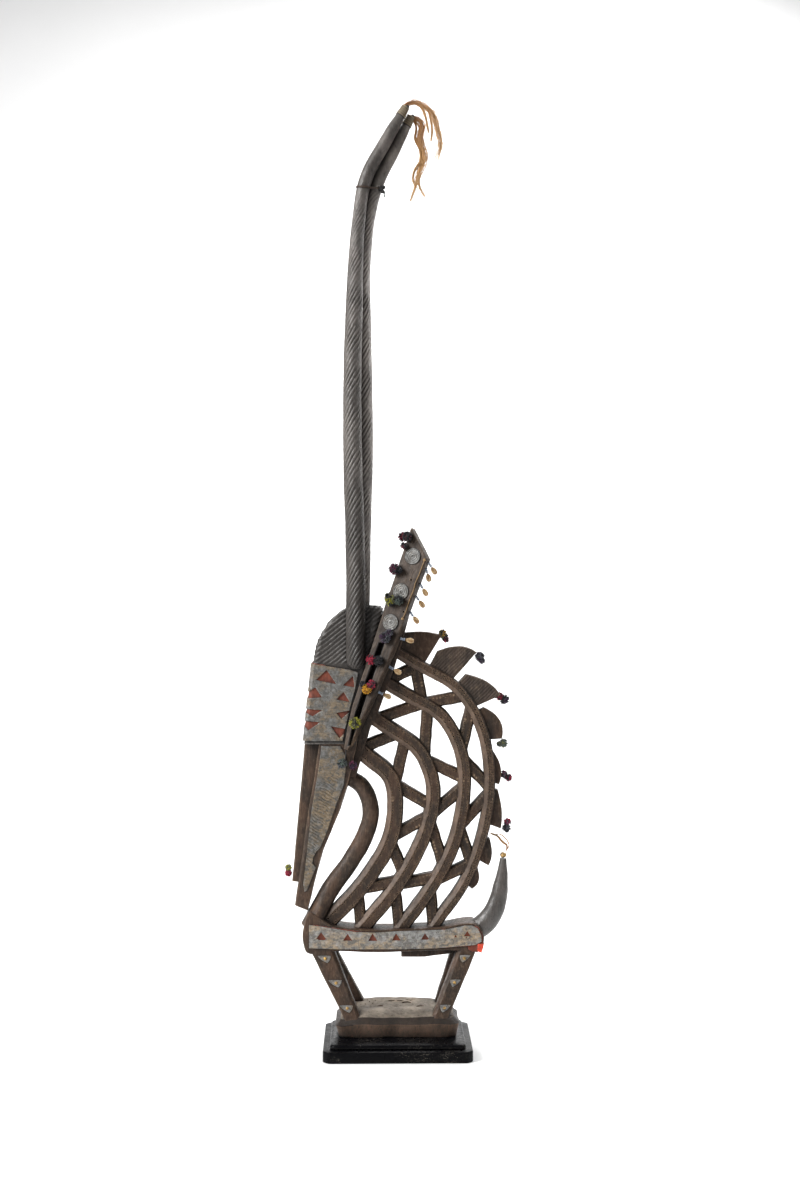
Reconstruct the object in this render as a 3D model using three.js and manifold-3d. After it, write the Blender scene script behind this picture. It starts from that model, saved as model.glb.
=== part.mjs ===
// Antelope dance headdress of carved wood, upright on its base block and a black stepped plinth.
// Millimetres, +Z up. The origin is the centre of the plinth's underside and the antelope faces -X.
import * as THREE from 'three';
import { mergeVertices } from 'three/addons/utils/BufferGeometryUtils.js';
import Module from 'manifold-3d';

const wasm = await Module();
wasm.setup();

// Plinth
const plinthWidth = 220;
const plinthDepth = 160;
const slabHeight = 17;
const stepHeight = 7;
const stepInset = 10;
const coveDepth = 4;
const coveHeight = 1.5;
const plinthCorner = 8;
const plinthEdge = 1.5;

// Carving: its place on the plinth, and its height from the top of the base block to the horn tips
const carvingSetBack = 14;
const figureHeight = 1349;
const blockLength = 177;
const blockDepth = 92;
const blockHeight = 33;
const blockEdge = 6;
const blockCrown = 3;

// Carving: thickness of its parts, measured across the headdress
const bodyThickness = 50;
const legThickness = 22;
const legSplay = 20;
const neckThickness = 26;
const headThickness = 47;
const muzzleThickness = 24;
const noseThickness = 20;
const strutThickness = 30;
const maneThickness = 28;
const barThickness = 20;
const finThickness = 16;
const tailThickness = 30;
const hornDiameter = 25;
const hornSpread = 20;
const earWidth = 34;
const earThickness = 18;
const earFlare = 22;

// Carving: width of its bands, measured in the plane of the mane
const arcWidths = [23, 20.5, 18.5, 15];
const barWidth = 15;
const arcInnerBevel = 6;
const arcOuterBevel = 3;
const arcBevelDepth = 5;
const edgeChamfer = 3;

// Trimmings
const clearance = 0.3;
const sheetThickness = 1;
const clothThickness = 0.8;
const clothLip = 2;
const discDiameter = 24;
const discRim = 1.5;
const discThickness = 1.4;
const legPlateWidths = { front: 20, hind: 16 };
const legPlateHeight = 10;
const earCordDiameter = 2.4;
const pomponDiameter = 14;
const cowrieLength = 13;
const cowrieWidth = 8;
const beadDiameter = 4;
const beadStringLength = 8;
const bindingHeight = 7;
const bindingThickness = 3;
const bindingKnot = 10;
const tipWrapThickness = 1.2;
const hairWidth = 7;
const hairThickness = 4;
const tailBallDiameter = 10;

// The figure's free curves are drawn at this height and follow figureHeight
const drawnHeight = 1349;
const figureScale = figureHeight / drawnHeight;
const plinthTop = slabHeight + stepHeight;
const figureBase = plinthTop + clearance + blockHeight;

// A point of the figure, from its place in the drawing: across to the right, deep, up
function place(x, z, y = 0) {
  return new THREE.Vector3(x * figureScale, y + carvingSetBack, figureBase + z * figureScale);
}

// Materials

function finish(color, roughness, metalness) {
  return { color, roughness, metalness };
}

const finishes = {
  wood: finish('#4a413a', 0.6, 0),
  blackPaint: finish('#1b1b1d', 0.35, 0),
  metal: finish('#9a968c', 0.5, 0.7),
  cloth: finish('#93402f', 0.95, 0),
  cord: finish('#b3965a', 0.8, 0),
  darkCord: finish('#2a241f', 0.85, 0),
  wool: finish('#4d2136', 1, 0),
  shell: finish('#e0c49a', 0.35, 0),
  hair: finish('#c79a63', 0.7, 0),
};

// Meshes and solids

function signedVolume(geometry) {
  const position = geometry.getAttribute('position');
  const index = geometry.getIndex();
  const [a, b, c] = [new THREE.Vector3(), new THREE.Vector3(), new THREE.Vector3()];
  let volume = 0;
  for (let i = 0; i < index.count; i += 3) {
    a.fromBufferAttribute(position, index.getX(i));
    b.fromBufferAttribute(position, index.getX(i + 1));
    c.fromBufferAttribute(position, index.getX(i + 2));
    volume += a.dot(b.cross(c)) / 6;
  }
  return volume;
}

// A closed geometry with its faces pointing out
function outward(geometry) {
  if (signedVolume(geometry) < 0) {
    geometry.getIndex().array.reverse();
  }
  return geometry;
}

// Triangles that fill a flat outline, wound the way that the outline runs
function fill(outline) {
  const turn = Math.sign(THREE.ShapeUtils.area(outline));
  const faces = THREE.ShapeUtils.triangulateShape(outline, []);
  return faces.map((face) => {
    const same = Math.sign(THREE.ShapeUtils.area(face.map((i) => outline[i]))) === turn;
    return same ? face : [...face].reverse();
  });
}

// A skin over rings of equal count, closed at both ends by the same faces
function skin(rings, faces) {
  const count = rings[0].length;
  const last = (rings.length - 1) * count;
  const index = [];
  for (let start = 0; start < last; start += count) {
    for (let i = 0; i < count; i += 1) {
      const a = start + i;
      const b = start + (i + 1) % count;
      index.push(a, b, a + count, b, b + count, a + count);
    }
  }
  for (const [a, b, c] of faces) {
    index.push(a, c, b, last + a, last + b, last + c);
  }
  const geometry = new THREE.BufferGeometry().setFromPoints(rings.flat());
  geometry.setIndex(index);
  return outward(geometry);
}

function stripped(geometry) {
  geometry.deleteAttribute('normal');
  geometry.deleteAttribute('uv');
  return geometry;
}

function solid(geometry) {
  const merged = mergeVertices(stripped(geometry.clone()));
  const vertProperties = Float32Array.from(merged.getAttribute('position').array);
  const triVerts = Uint32Array.from(merged.getIndex().array);
  return new wasm.Manifold(new wasm.Mesh({ numProp: 3, vertProperties, triVerts }));
}

function toGeometry(manifold) {
  const { vertProperties, triVerts } = manifold.getMesh();
  const geometry = new THREE.BufferGeometry();
  geometry.setAttribute('position', new THREE.BufferAttribute(vertProperties, 3));
  geometry.setIndex(new THREE.BufferAttribute(triVerts, 1));
  return geometry;
}

function fused(geometries) {
  return geometries.map(solid).reduce((whole, part) => whole.add(part));
}

// Outlines and sections

function steps(from, to, count) {
  return Array.from({ length: count + 1 }, (_, i) => from + (to - from) * i / count);
}

function outlineOf(points) {
  return points.map(([x, z]) => {
    const p = place(x, z);
    return new THREE.Vector2(p.x, p.z);
  });
}

// An outline moved inwards, or outwards by a negative distance
function inset(outline, distance) {
  const turn = Math.sign(THREE.ShapeUtils.area(outline));
  return outline.map((p, i) => {
    const into = p.clone().sub(outline.at(i - 1)).normalize();
    const out = outline[(i + 1) % outline.length].clone().sub(p).normalize();
    const bisector = new THREE.Vector2(-into.y - out.y, into.x + out.x).normalize();
    const lean = Math.max(0.5, bisector.dot(new THREE.Vector2(-into.y, into.x)));
    return p.clone().addScaledVector(bisector, turn * distance / lean);
  });
}

// A board cut to an outline seen from the side, its edges chamfered, between two depths
function board(outline, near, far, chamfer = 0) {
  const layers = chamfer ? [[near, chamfer], [near + chamfer, 0], [far - chamfer, 0], [far, chamfer]]
    : [[near, 0], [far, 0]];
  const rings = layers.map(([y, cut]) => inset(outline, cut)
    .map((p) => new THREE.Vector3(p.x, y + carvingSetBack, p.y)));
  return skin(rings, fill(outline));
}

function middleBoard(outline, thickness, chamfer = edgeChamfer) {
  return board(outline, -thickness / 2, thickness / 2, chamfer);
}

function smoothOutline(points, count) {
  const knots = outlineOf(points).map((p) => new THREE.Vector3(p.x, p.y, 0));
  const curve = new THREE.CatmullRomCurve3(knots, true, 'centripetal');
  return curve.getPoints(count).slice(0, -1).map((p) => new THREE.Vector2(p.x, p.y));
}

function roundSection(across, deep, sides) {
  return steps(0, 2 * Math.PI, sides).slice(0, -1)
    .map((angle) => new THREE.Vector2(Math.cos(angle) * across / 2, Math.sin(angle) * deep / 2));
}

function chamferedSection(across, deep, chamfer) {
  const [w, t] = [across / 2, deep / 2];
  return [[-w, chamfer - t], [chamfer - w, -t], [w - chamfer, -t], [w, chamfer - t],
    [w, t - chamfer], [w - chamfer, t], [chamfer - w, t], [-w, t - chamfer]]
    .map(([x, y]) => new THREE.Vector2(x, y));
}

// Curves in the plane of the mane

function curveThrough(points) {
  return new THREE.CatmullRomCurve3(points.map(([x, z]) => place(x, z)), false, 'centripetal');
}

// The place at a share of a curve's length, and the direction across it; past an end it runs on straight
function along(curve, share) {
  const inside = THREE.MathUtils.clamp(share, 0, 1);
  const tangent = curve.getTangentAt(inside);
  const beyond = (share - inside) * curve.getLength();
  const point = curve.getPointAt(inside).addScaledVector(tangent, beyond);
  return { point, tangent, across: new THREE.Vector3(-tangent.z, 0, tangent.x).normalize() };
}

function sweep(curve, shares, sectionAt, depthAt = () => 0) {
  const rings = shares.map((share) => {
    const { point, across } = along(curve, share);
    return sectionAt(share).map((p) => point.clone().addScaledVector(across, p.x)
      .add(new THREE.Vector3(0, p.y + depthAt(share), 0)));
  });
  return skin(rings, fill(sectionAt(shares[0])));
}

// A value read from a short table of shares and values
function graded(table, share) {
  const inside = THREE.MathUtils.clamp(share, table[0][0], table.at(-1)[0]);
  const i = Math.max(1, table.findIndex(([s]) => s >= inside));
  const [[s0, v0], [s1, v1]] = [table[i - 1], table[i]];
  return THREE.MathUtils.mapLinear(inside, s0, s1, v0, v1);
}

// Plinth: one piece, a slab and a step with a cove between them

function plinthRing(cut, z) {
  const [w, d, c] = [plinthWidth / 2 - cut, plinthDepth / 2 - cut, plinthCorner];
  return [[-w, c - d], [c - w, -d], [w - c, -d], [w, c - d],
    [w, d - c], [w - c, d], [c - w, d], [-w, d - c]].map(([x, y]) => new THREE.Vector3(x, y, z));
}

function plinth() {
  const rings = [
    plinthRing(plinthEdge, 0),
    plinthRing(0, plinthEdge),
    plinthRing(0, slabHeight - plinthEdge),
    plinthRing(plinthEdge, slabHeight),
    plinthRing(stepInset + coveDepth, slabHeight),
    plinthRing(stepInset + coveDepth, slabHeight + coveHeight),
    plinthRing(stepInset, slabHeight + coveHeight),
    plinthRing(stepInset, plinthTop - 2 * plinthEdge),
    plinthRing(stepInset + plinthEdge * 0.6, plinthTop - plinthEdge * 0.6),
    plinthRing(stepInset + 2 * plinthEdge, plinthTop),
  ];
  return skin(rings, fill(rings[0].map((p) => new THREE.Vector2(p.x, p.y))));
}

// Base block: its top is crowned and its edges are worn round
function baseBlock() {
  const layers = [[1, 0], [0, 2], [-4, blockHeight * 0.75], [-1, blockHeight - blockEdge / 2],
    [blockEdge / 2, blockHeight - 0.5], [3 * blockEdge, blockHeight + blockCrown]];
  const rings = layers.map(([cut, z]) => {
    const section = chamferedSection(blockLength - 2 * cut, blockDepth - 2 * cut, blockEdge);
    return section.map((p) => new THREE.Vector3(p.x, p.y + carvingSetBack, plinthTop + clearance + z));
  });
  return skin(rings, fill(rings[0].map((p) => new THREE.Vector2(p.x, p.y))));
}

// Legs: where each one's middle is under the body and at the foot, and its width there
const legTop = 110;
const legFlush = 88;
const legFoot = -10;
const legs = {
  front_near: { side: -1, top: -121, foot: -65, topWidth: 38, footWidth: 24 },
  hind_near: { side: -1, top: 112, foot: 61, topWidth: 29, footWidth: 25 },
  front_far: { side: 1, top: -121, foot: -55, topWidth: 36, footWidth: 24 },
  hind_far: { side: 1, top: 103, foot: 67, topWidth: 29, footWidth: 25 },
};

// The middle of a leg's outer face at a height of the drawing: flush with the body, then splayed
function legFace(leg, z) {
  const down = (legTop - z) / (legTop - legFoot);
  const splayed = Math.max(0, (legFlush - z) / (legFlush - legFoot));
  const x = THREE.MathUtils.lerp(leg.top, leg.foot, down);
  return place(x, z, leg.side * (bodyThickness / 2 + legSplay * splayed));
}

function legBar(leg) {
  const flushWidth = THREE.MathUtils.mapLinear(legFlush, legTop, legFoot, leg.topWidth, leg.footWidth);
  const rows = [[legTop, leg.topWidth], [legFlush, flushWidth], [legFoot, leg.footWidth]];
  const rings = rows.map(([z, width]) => {
    const middle = legFace(leg, z).add(new THREE.Vector3(0, -leg.side * legThickness / 2, 0));
    return chamferedSection(width, legThickness, edgeChamfer)
      .map((p) => middle.clone().add(new THREE.Vector3(p.x, p.y, 0)));
  });
  return skin(rings, [[0, 1, 2], [0, 2, 3], [0, 3, 4], [0, 4, 5], [0, 5, 6], [0, 6, 7]]);
}

// Body: a sagging bar with the chest at its left end and the rump at its right end
const bodyOutline = smoothOutline([
  [-132, 149], [-141, 123], [-141, 103], [-134, 88], [-90, 91], [-48, 89], [11, 90], [70, 92],
  [112, 92], [129, 102], [128, 120], [116, 132], [104, 133], [70, 127], [20, 124], [-34, 123],
  [-93, 129], [-112, 139],
], 36);
const bellyBarOutline = outlineOf([[6, 95], [6, 78], [42, 78], [82, 83], [95, 95]]);

const neckCurve = curveThrough([[-74, 351], [-52, 335], [-39.5, 300], [-47, 265], [-70, 223], [-100, 181],
  [-124, 136]]);
const neckWidths = [[0, 24], [0.5, 27], [1, 28]];
const neckStations = 14;
const roundSides = 10;
const thinSides = 6;

const tailCurve = curveThrough([[98, 112], [118, 118], [136, 131], [148, 151], [154, 172], [158, 198],
  [160, 226]]);
const tailWidths = [[0, 30], [0.25, 33], [0.45, 30], [0.7, 23], [1, 10]];
const tailStations = 9;

function neck() {
  return sweep(neckCurve, steps(0, 1, neckStations), (share) => roundSection(
    graded(neckWidths, share), neckThickness, roundSides,
  ));
}

function tail() {
  return sweep(tailCurve, steps(0, 1, tailStations), (share) => {
    const width = graded(tailWidths, share);
    return roundSection(width, Math.min(tailThickness, width), roundSides);
  });
}

// Head: rows from front to back, as front x and z, back x and z, and the thickness there
const cheekRows = [
  [-154, 158, -134, 150, muzzleThickness],
  [-149, 192, -124, 193, muzzleThickness + 4],
  [-141, 243, -110, 243, muzzleThickness + 8],
  [-133, 303, -85, 303, muzzleThickness + 12],
  [-124, 349, -70, 349, headThickness - 8],
  [-117, 400, -60, 400, headThickness - 3],
  [-114, 424, -58, 424, headThickness - 2],
];
const skullRows = [
  [-139, 402, -60, 402, headThickness - 2],
  [-136, 436, -56, 436, headThickness - 0.5],
  [-132, 471, -52, 471, headThickness],
  [-126, 523, -45, 515, headThickness],
  [-122, 539, -40, 530, headThickness - 3],
  [-116, 555, -34, 548, headThickness - 6],
  [-108, 567, -29, 566, headThickness - 9],
  [-99, 581, -24, 582, headThickness - 13],
  [-89, 592, -21, 594, headThickness - 18],
  [-77, 602, -20, 603, headThickness - 25],
  [-62, 609, -24, 608, headThickness - 35],
];
const noseRows = [
  [-139, 398, -108, 398, noseThickness],
  [-158, 194, -138, 191, noseThickness - 3],
];

function headSolid(rows, chamfer, grow = 0) {
  const rings = rows.map(([frontX, frontZ, backX, backZ, thickness]) => {
    const front = place(frontX, frontZ);
    const back = place(backX, backZ);
    const middle = front.clone().add(back).multiplyScalar(0.5);
    const across = back.clone().sub(front).normalize();
    return chamferedSection(back.distanceTo(front) + 2 * grow, thickness + 2 * grow, chamfer)
      .map((p) => middle.clone().addScaledVector(across, p.x).add(new THREE.Vector3(0, p.y, 0)));
  });
  return skin(rings, fill(chamferedSection(10 * chamfer, 10 * chamfer, chamfer)));
}

const skullChamfer = 5;
const cheekChamfer = 2.5;

// Horns: two side by side, joined where they touch, the far one further back
const hornCurves = {
  near: curveThrough([[-62, 516], [-62.5, 680], [-67, 880], [-64, 1050], [-57.5, 1179], [-43.5, 1244],
    [-17.7, 1300], [9, drawnHeight]]),
  far: curveThrough([[-55, 516], [-52, 700], [-48.5, 850], [-50.5, 1010], [-50, 1126], [-34.5, 1228],
    [-8.9, 1290], [17, drawnHeight - 10]]),
};
const hornTaper = [[0, 1], [0.62, 1], [0.78, 0.72], [0.87, 0.64], [0.93, 0.56], [0.97, 0.46], [1, 0.2]];
const hornApart = [[0, 1.3], [0.15, 1.15], [0.35, 1], [0.62, 0.95], [0.8, 0.62], [1, 0.6]];
const hornSides = { near: -1, far: 1 };
const hornStations = 22;

function hornDiameterAt(share) {
  return hornDiameter * graded(hornTaper, share);
}

function hornDepthAt(which, share) {
  return hornSides[which] * hornSpread / 2 * graded(hornApart, share);
}

function horn(which, from = 0, to = 1, count = hornStations, grow = 0) {
  return sweep(hornCurves[which], steps(from, to, count), (share) => {
    const width = hornDiameterAt(share) + 2 * grow;
    return roundSection(width, width, roundSides);
  }, (share) => hornDepthAt(which, share));
}

// The room that one horn needs, with the clearance round it and past its tip
function hornRoom(which) {
  const pastTip = 1 + clearance / hornCurves[which].getLength();
  return solid(horn(which, 0, pastTip, hornStations, clearance));
}

// Ears: planks with a slot between two rails below, leaning back and flaring outwards
const earRoot = [-72, 393];
const earTip = [34, 708];
const earOuterFace = 27;
const earAxis = place(...earTip).sub(place(...earRoot)).normalize();
const earAcross = new THREE.Vector3(earAxis.z, 0, -earAxis.x);
const earFrontEdge = -18;
const earLength = 344;
const earEndSlant = 36;
const earSlotWidth = 5;
const earSlotEnds = [0.023, 0.483];

// A point on or off an ear: across from its front edge, at a share of its length, out from its outer face
function onEar(side, across, share, out) {
  const flare = THREE.MathUtils.degToRad(earFlare);
  const wide = earAcross.clone().multiplyScalar(Math.cos(flare));
  wide.y = side * Math.sin(flare);
  const outwards = earAcross.clone().multiplyScalar(-Math.sin(flare));
  outwards.y = side * Math.cos(flare);
  return place(...earRoot, side * earOuterFace)
    .addScaledVector(earAcross, earFrontEdge * figureScale)
    .addScaledVector(wide, across)
    .addScaledVector(earAxis, share * earLength * figureScale)
    .addScaledVector(outwards, out);
}

function earPrism(side, outline, inner, outer) {
  const rings = [inner, outer].map((out) => outline.map((p) => onEar(side, p.x, p.y, out)));
  return skin(rings, fill(outline));
}

// Shares of an ear's length with how far across its two edges are there
const earFrontLine = [[0, 10], [0.09, 4], [0.19, 1], [0.44, 0], [1, 0]];
const earBackLine = [[0, earWidth - 17], [0.12, earWidth - 12], [0.29, earWidth - 7], [0.44, earWidth - 4],
  [0.67, earWidth - 3], [0.785, earWidth], [1 - earEndSlant / earLength, earWidth + 4]];

function ear(side) {
  const outline = [...earFrontLine, ...earBackLine.toReversed()]
    .map(([share, x]) => new THREE.Vector2(x, share));
  const [slotFoot, slotHead] = earSlotEnds;
  const slotBack = earWidth / 2;
  const slotFront = slotBack - 2 - earSlotWidth;
  const slot = [[slotFoot, slotBack - 1], [slotFoot + 0.15, slotFront], [slotHead, slotFront],
    [slotHead + 0.01, slotBack], [slotFoot + 0.17, slotBack], [slotFoot, slotBack + 1]]
    .map(([share, x]) => new THREE.Vector2(x, share));
  const plank = solid(earPrism(side, outline, -earThickness, 0));
  return plank.subtract(solid(earPrism(side, slot, -2 * earThickness, clearance)));
}

// Nape strut: the board that the arcs and the ears grow from
const strutOutline = outlineOf([[-84, 352], [-62, 350], [-40, 425], [-27, 452], [-5, 512], [10, 563],
  [18, 591], [4, 601], [-30, 560], [-60, 460]]);

// Mane: four nested arcs from the strut to the back, from the neck outwards
const arcCurves = [
  curveThrough([[-46, 383], [-10, 350], [-3, 302], [-12, 253], [-36, 210], [-66, 171], [-101, 136]]),
  curveThrough([[-16, 427], [32, 392], [54, 337], [46, 278], [22, 223], [-10, 173], [-49, 127]]),
  curveThrough([[10, 477], [68, 441], [98, 380], [99, 311], [83, 244], [50, 182], [9, 126]]),
  curveThrough([[25, 523], [91, 483], [129, 417], [139, 340], [128, 263], [101, 191], [57, 128]]),
];
const arcRoot = 34;
const arcFoot = 20;
const arcStations = 20;

function arcSection(width) {
  const [w, t, e] = [width / 2, maneThickness / 2, maneThickness / 2 - arcBevelDepth];
  return [[-w, -e], [arcInnerBevel - w, -t], [w - arcOuterBevel, -t], [w, -e],
    [w, e], [w - arcOuterBevel, t], [arcInnerBevel - w, t], [-w, e]]
    .map(([x, y]) => new THREE.Vector2(x, y));
}

function arcBand(curve, i) {
  const length = curve.getLength();
  const shares = steps(-arcRoot / length, 1 + arcFoot / length, arcStations);
  return sweep(curve, shares, () => arcSection(arcWidths[i]));
}

// Lattice: the bars in each ring, as shares of the inner arc's and the outer arc's length
const lattice = [
  [[-0.05, 0.055], [0.225, 0.093], [0.2, 0.42], [0.48, 0.459], [0.492, 0.732], [0.788, 0.764],
    [0.8, 1.02]],
  [[-0.05, 0.078], [0.21, 0.099], [0.218, 0.408], [0.457, 0.437], [0.474, 0.738], [0.782, 0.784],
    [0.8, 1.02]],
  [[-0.08, 0.02], [0.075, 0.004], [0.082, 0.198], [0.31, 0.24], [0.336, 0.512], [0.585, 0.532],
    [0.584, 0.773], [0.798, 0.765], [0.832, 1.01]],
];

function latticeBar(inner, outer, [fromShare, toShare]) {
  const from = along(inner, fromShare).point;
  const to = along(outer, toShare).point;
  const run = to.clone().sub(from).normalize();
  const wide = new THREE.Vector3(-run.z, 0, run.x);
  const corners = [[-0.5, -0.5], [0.5, -0.5], [0.5, 0.5], [-0.5, 0.5]];
  const rings = [from, to].map((end) => corners.map(([x, y]) => end.clone()
    .addScaledVector(wide, x * barWidth)
    .add(new THREE.Vector3(0, y * barThickness, 0))));
  return skin(rings, [[0, 1, 2], [0, 2, 3]]);
}

// Mane fins on the outer arc: from and to shares, reach from its middle line, how far the edge rounds,
// where along the edge the pompon is tied, and how far that leans down the arc
const fins = [
  { from: -0.083, to: 0.036, reach: 50, rounding: 0.5, tie: 1, lean: 0.4 },
  { from: 0.051, to: 0.139, reach: 55, rounding: 0.5, tie: 1, lean: 2 },
  { from: 0.155, to: 0.25, reach: 44, rounding: 0.5, tie: 1, lean: 3 },
  { from: 0.26, to: 0.365, reach: 30, rounding: 0.8, tie: 1, lean: 4 },
  { from: 0.399, to: 0.503, reach: 18, rounding: 0.8, tie: 0.75, lean: 0 },
  { from: 0.519, to: 0.637, reach: 25, rounding: 0.5, tie: 0.88, lean: 0 },
  { from: 0.673, to: 0.756, reach: 24, rounding: 0.6 },
  { from: 0.775, to: 0.842, reach: 19, rounding: 0.8 },
];
const outerArc = arcCurves.at(-1);
const finTipCut = 0.008;

// The outer edge of a fin from its front, at t = 0, to its tip, at t = 1
function finEdge(fin, t) {
  const { point, across } = along(outerArc, THREE.MathUtils.lerp(fin.from, fin.to, t));
  const rise = 0.52 + 0.48 * Math.sin(Math.PI * fin.rounding * t);
  return point.addScaledVector(across, fin.reach * rise * figureScale);
}

function finBoard(fin) {
  const edge = steps(0, 1, 5).map((t) => finEdge(fin, t));
  const root = [fin.to - finTipCut, (fin.from + fin.to) / 2, fin.from]
    .map((share) => along(outerArc, share).point);
  const outline = [...edge, ...root].map((p) => new THREE.Vector2(p.x, p.z));
  return middleBoard(outline, finThickness);
}

function carving() {
  const bars = lattice.flatMap((ring, i) => ring
    .map((shares) => latticeBar(arcCurves[i], arcCurves[i + 1], shares)));
  const parts = fused([
    baseBlock(),
    ...Object.values(legs).map(legBar),
    middleBoard(bodyOutline, bodyThickness),
    middleBoard(bellyBarOutline, neckThickness / 2),
    neck(),
    tail(),
    headSolid(skullRows, skullChamfer),
    headSolid(cheekRows, cheekChamfer),
    headSolid(noseRows, cheekChamfer),
    horn('near'),
    horn('far'),
    middleBoard(strutOutline, strutThickness),
    ...arcCurves.map(arcBand),
    ...bars,
    ...fins.map(finBoard),
  ]);
  return toGeometry(parts.add(ear(-1)).add(ear(1)));
}

// Sheet metal and the red cloth under it

const clothOut = clearance + clothThickness;
const sheetIn = clothOut + clearance;
const sheetOut = sheetIn + sheetThickness;
const wholeDepth = headThickness * 2;

// A layer of the given thickness over a head solid, only where the outline covers it
function headLayer(rows, chamfer, from, to, outline, near = -wholeDepth, far = wholeDepth) {
  const shell = solid(headSolid(rows, chamfer, to)).subtract(solid(headSolid(rows, chamfer, from)));
  return shell.intersect(solid(board(outline, near, far)));
}

const bandOutline = outlineOf([[-150, 526], [-71, 513], [-58, 509], [-62, 489], [-70, 459], [-79, 419],
  [-81, 407], [-150, 407]]);
const bandCutouts = [
  [[-105, 513], [-121, 498], [-91, 492]], [[-66, 504], [-81, 490], [-64, 487]],
  [[-122, 487], [-150, 470], [-112, 472]], [[-80, 480], [-91, 469], [-71, 465]],
  [[-150, 456], [-112, 453], [-126, 444]], [[-91, 449], [-68, 453], [-83, 440]],
  [[-150, 438], [-115, 435], [-132, 423]], [[-99, 429], [-73, 424], [-86, 411]],
].map(outlineOf);

function headBand() {
  const band = headLayer(skullRows, skullChamfer, sheetIn, sheetOut, bandOutline);
  const cutters = bandCutouts.map((cut) => solid(board(cut, -wholeDepth, wholeDepth)));
  return toGeometry(cutters.reduce((left, cutter) => left.subtract(cutter), band));
}

function headCloth() {
  return toGeometry(headLayer(skullRows, skullChamfer, clearance, clothOut, bandOutline));
}

const faceSheetOutline = outlineOf([[-113, 399], [-118, 363], [-128, 303], [-135, 243], [-141, 190],
  [-139, 179], [-135, 181], [-129, 198], [-122, 216], [-127, 222], [-126, 231], [-121, 240], [-114, 248],
  [-104, 273], [-91, 311], [-80, 340], [-77, 365], [-77, 384], [-85, 399]]);

function faceSheet(side) {
  const [near, far] = side < 0 ? [-wholeDepth, 0] : [0, wholeDepth];
  const out = clearance + sheetThickness;
  return toGeometry(headLayer(cheekRows, cheekChamfer, clearance, out, faceSheetOutline, near, far));
}

const stripOutline = outlineOf([[-132, 132], [-93, 126], [-63, 121], [-34, 120], [4, 122], [71, 124],
  [101, 130], [112, 130], [120, 126], [126, 115], [126, 106], [117, 101], [56, 96], [4, 95], [-86, 95],
  [-132, 97]]);
const stripCutWidths = [12, 10, 12, 11, 9];
const stripCutMiddles = [-113, -74, -37, -2, 41];
const stripCutEnds = [109, 119];
const clothScrapOutline = outlineOf([[104, 106], [106, 93], [112, 90], [126, 90], [130, 104]]);

// A flat layer on one flank, between two distances out from the body
function flankLayer(side, outline, from, to) {
  const depths = [from, to].map((out) => side * (bodyThickness / 2 + out));
  return solid(board(outline, Math.min(...depths), Math.max(...depths)));
}

function bodyStrip(side) {
  const [foot, apex] = stripCutEnds;
  const cutters = stripCutMiddles.map((x, i) => {
    const half = stripCutWidths[i] / 2;
    return flankLayer(side, outlineOf([[x, apex], [x - half, foot], [x + half, foot]]), 0, 2 * sheetOut);
  });
  const strip = flankLayer(side, stripOutline, sheetIn, sheetOut);
  return toGeometry(cutters.reduce((left, cutter) => left.subtract(cutter), strip));
}

function bodyCloth(side) {
  const under = flankLayer(side, inset(stripOutline, -clothLip), clearance, clothOut);
  return toGeometry(under.add(flankLayer(side, clothScrapOutline, clearance, clothOut)));
}

// Small metal triangles that point down the outer face of each leg
const legPlateHeights = [85, 50, 14];

function legPlate(leg, width, z) {
  const lower = z - legPlateHeight;
  const outwards = new THREE.Vector3(0, leg.side, 0);
  const [top, apex] = [legFace(leg, z), legFace(leg, lower)];
  const half = new THREE.Vector3(width / 2, 0, 0);
  const corners = [top.clone().sub(half), top.clone().add(half), apex];
  const rings = [clearance, clearance + sheetThickness].map((out) => corners
    .map((p) => p.clone().addScaledVector(outwards, out)));
  return skin(rings, [[0, 1, 2]]);
}

// Ornaments on the ears

const discShares = [0.884, 0.724, 0.584];
const discAcross = earWidth / 2;
const discSides = 12;

function disc() {
  const [rim, face] = [discDiameter / 2, discDiameter / 2 - discRim];
  const floor = discThickness * 0.7;
  const profile = [[0, 0], [rim, 0], [rim, discThickness], [face, discThickness], [face, floor], [0, floor]]
    .map(([x, y]) => new THREE.Vector2(x, y));
  return outward(mergeVertices(stripped(new THREE.LatheGeometry(profile, discSides))));
}

// The outward direction of an ear's outer face
function earOutward(side) {
  return onEar(side, 0, 0, 1).sub(onEar(side, 0, 0, 0));
}

const earCordAcross = earWidth - 4;
const earCordEnds = [0.674, 0.878];

function earCord(side) {
  const out = clearance + earCordDiameter / 2;
  const [from, to] = earCordEnds.map((share) => onEar(side, earCordAcross, share, out));
  const path = new THREE.LineCurve3(from, to);
  const section = new THREE.Shape(roundSection(earCordDiameter, earCordDiameter, thinSides));
  return new THREE.ExtrudeGeometry(section, { extrudePath: path, steps: 4 });
}

function ball(diameter) {
  return new THREE.SphereGeometry(diameter / 2, 8, 6);
}

// Cowrie shell on a short string of beads, hanging off an ear's back edge
const cowrieShares = [0.872, 0.837, 0.773, 0.721, 0.651, 0.532, 0.401, 0.282];
const cowrieDrop = new THREE.Vector3(0.7, 0, -0.71);

function cowrie(side, share) {
  const start = onEar(side, graded(earBackLine, share), share, -earThickness / 2)
    .addScaledVector(cowrieDrop, clearance + beadDiameter / 2);
  const end = start.clone().addScaledVector(cowrieDrop, beadStringLength + cowrieLength);
  const line = new THREE.LineCurve3(start, end);
  const neckShare = beadStringLength / line.getLength();
  const widths = [[0, beadDiameter * 0.7], [neckShare * 0.5, beadDiameter], [neckShare, beadDiameter * 0.7],
    [neckShare + 0.16, cowrieWidth * 0.85], [neckShare + 0.34, cowrieWidth], [1, cowrieWidth * 0.35]];
  return sweep(line, widths.map(([at]) => at), (at) => {
    const width = graded(widths, at);
    return roundSection(width, width * 0.8, thinSides);
  });
}

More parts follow.
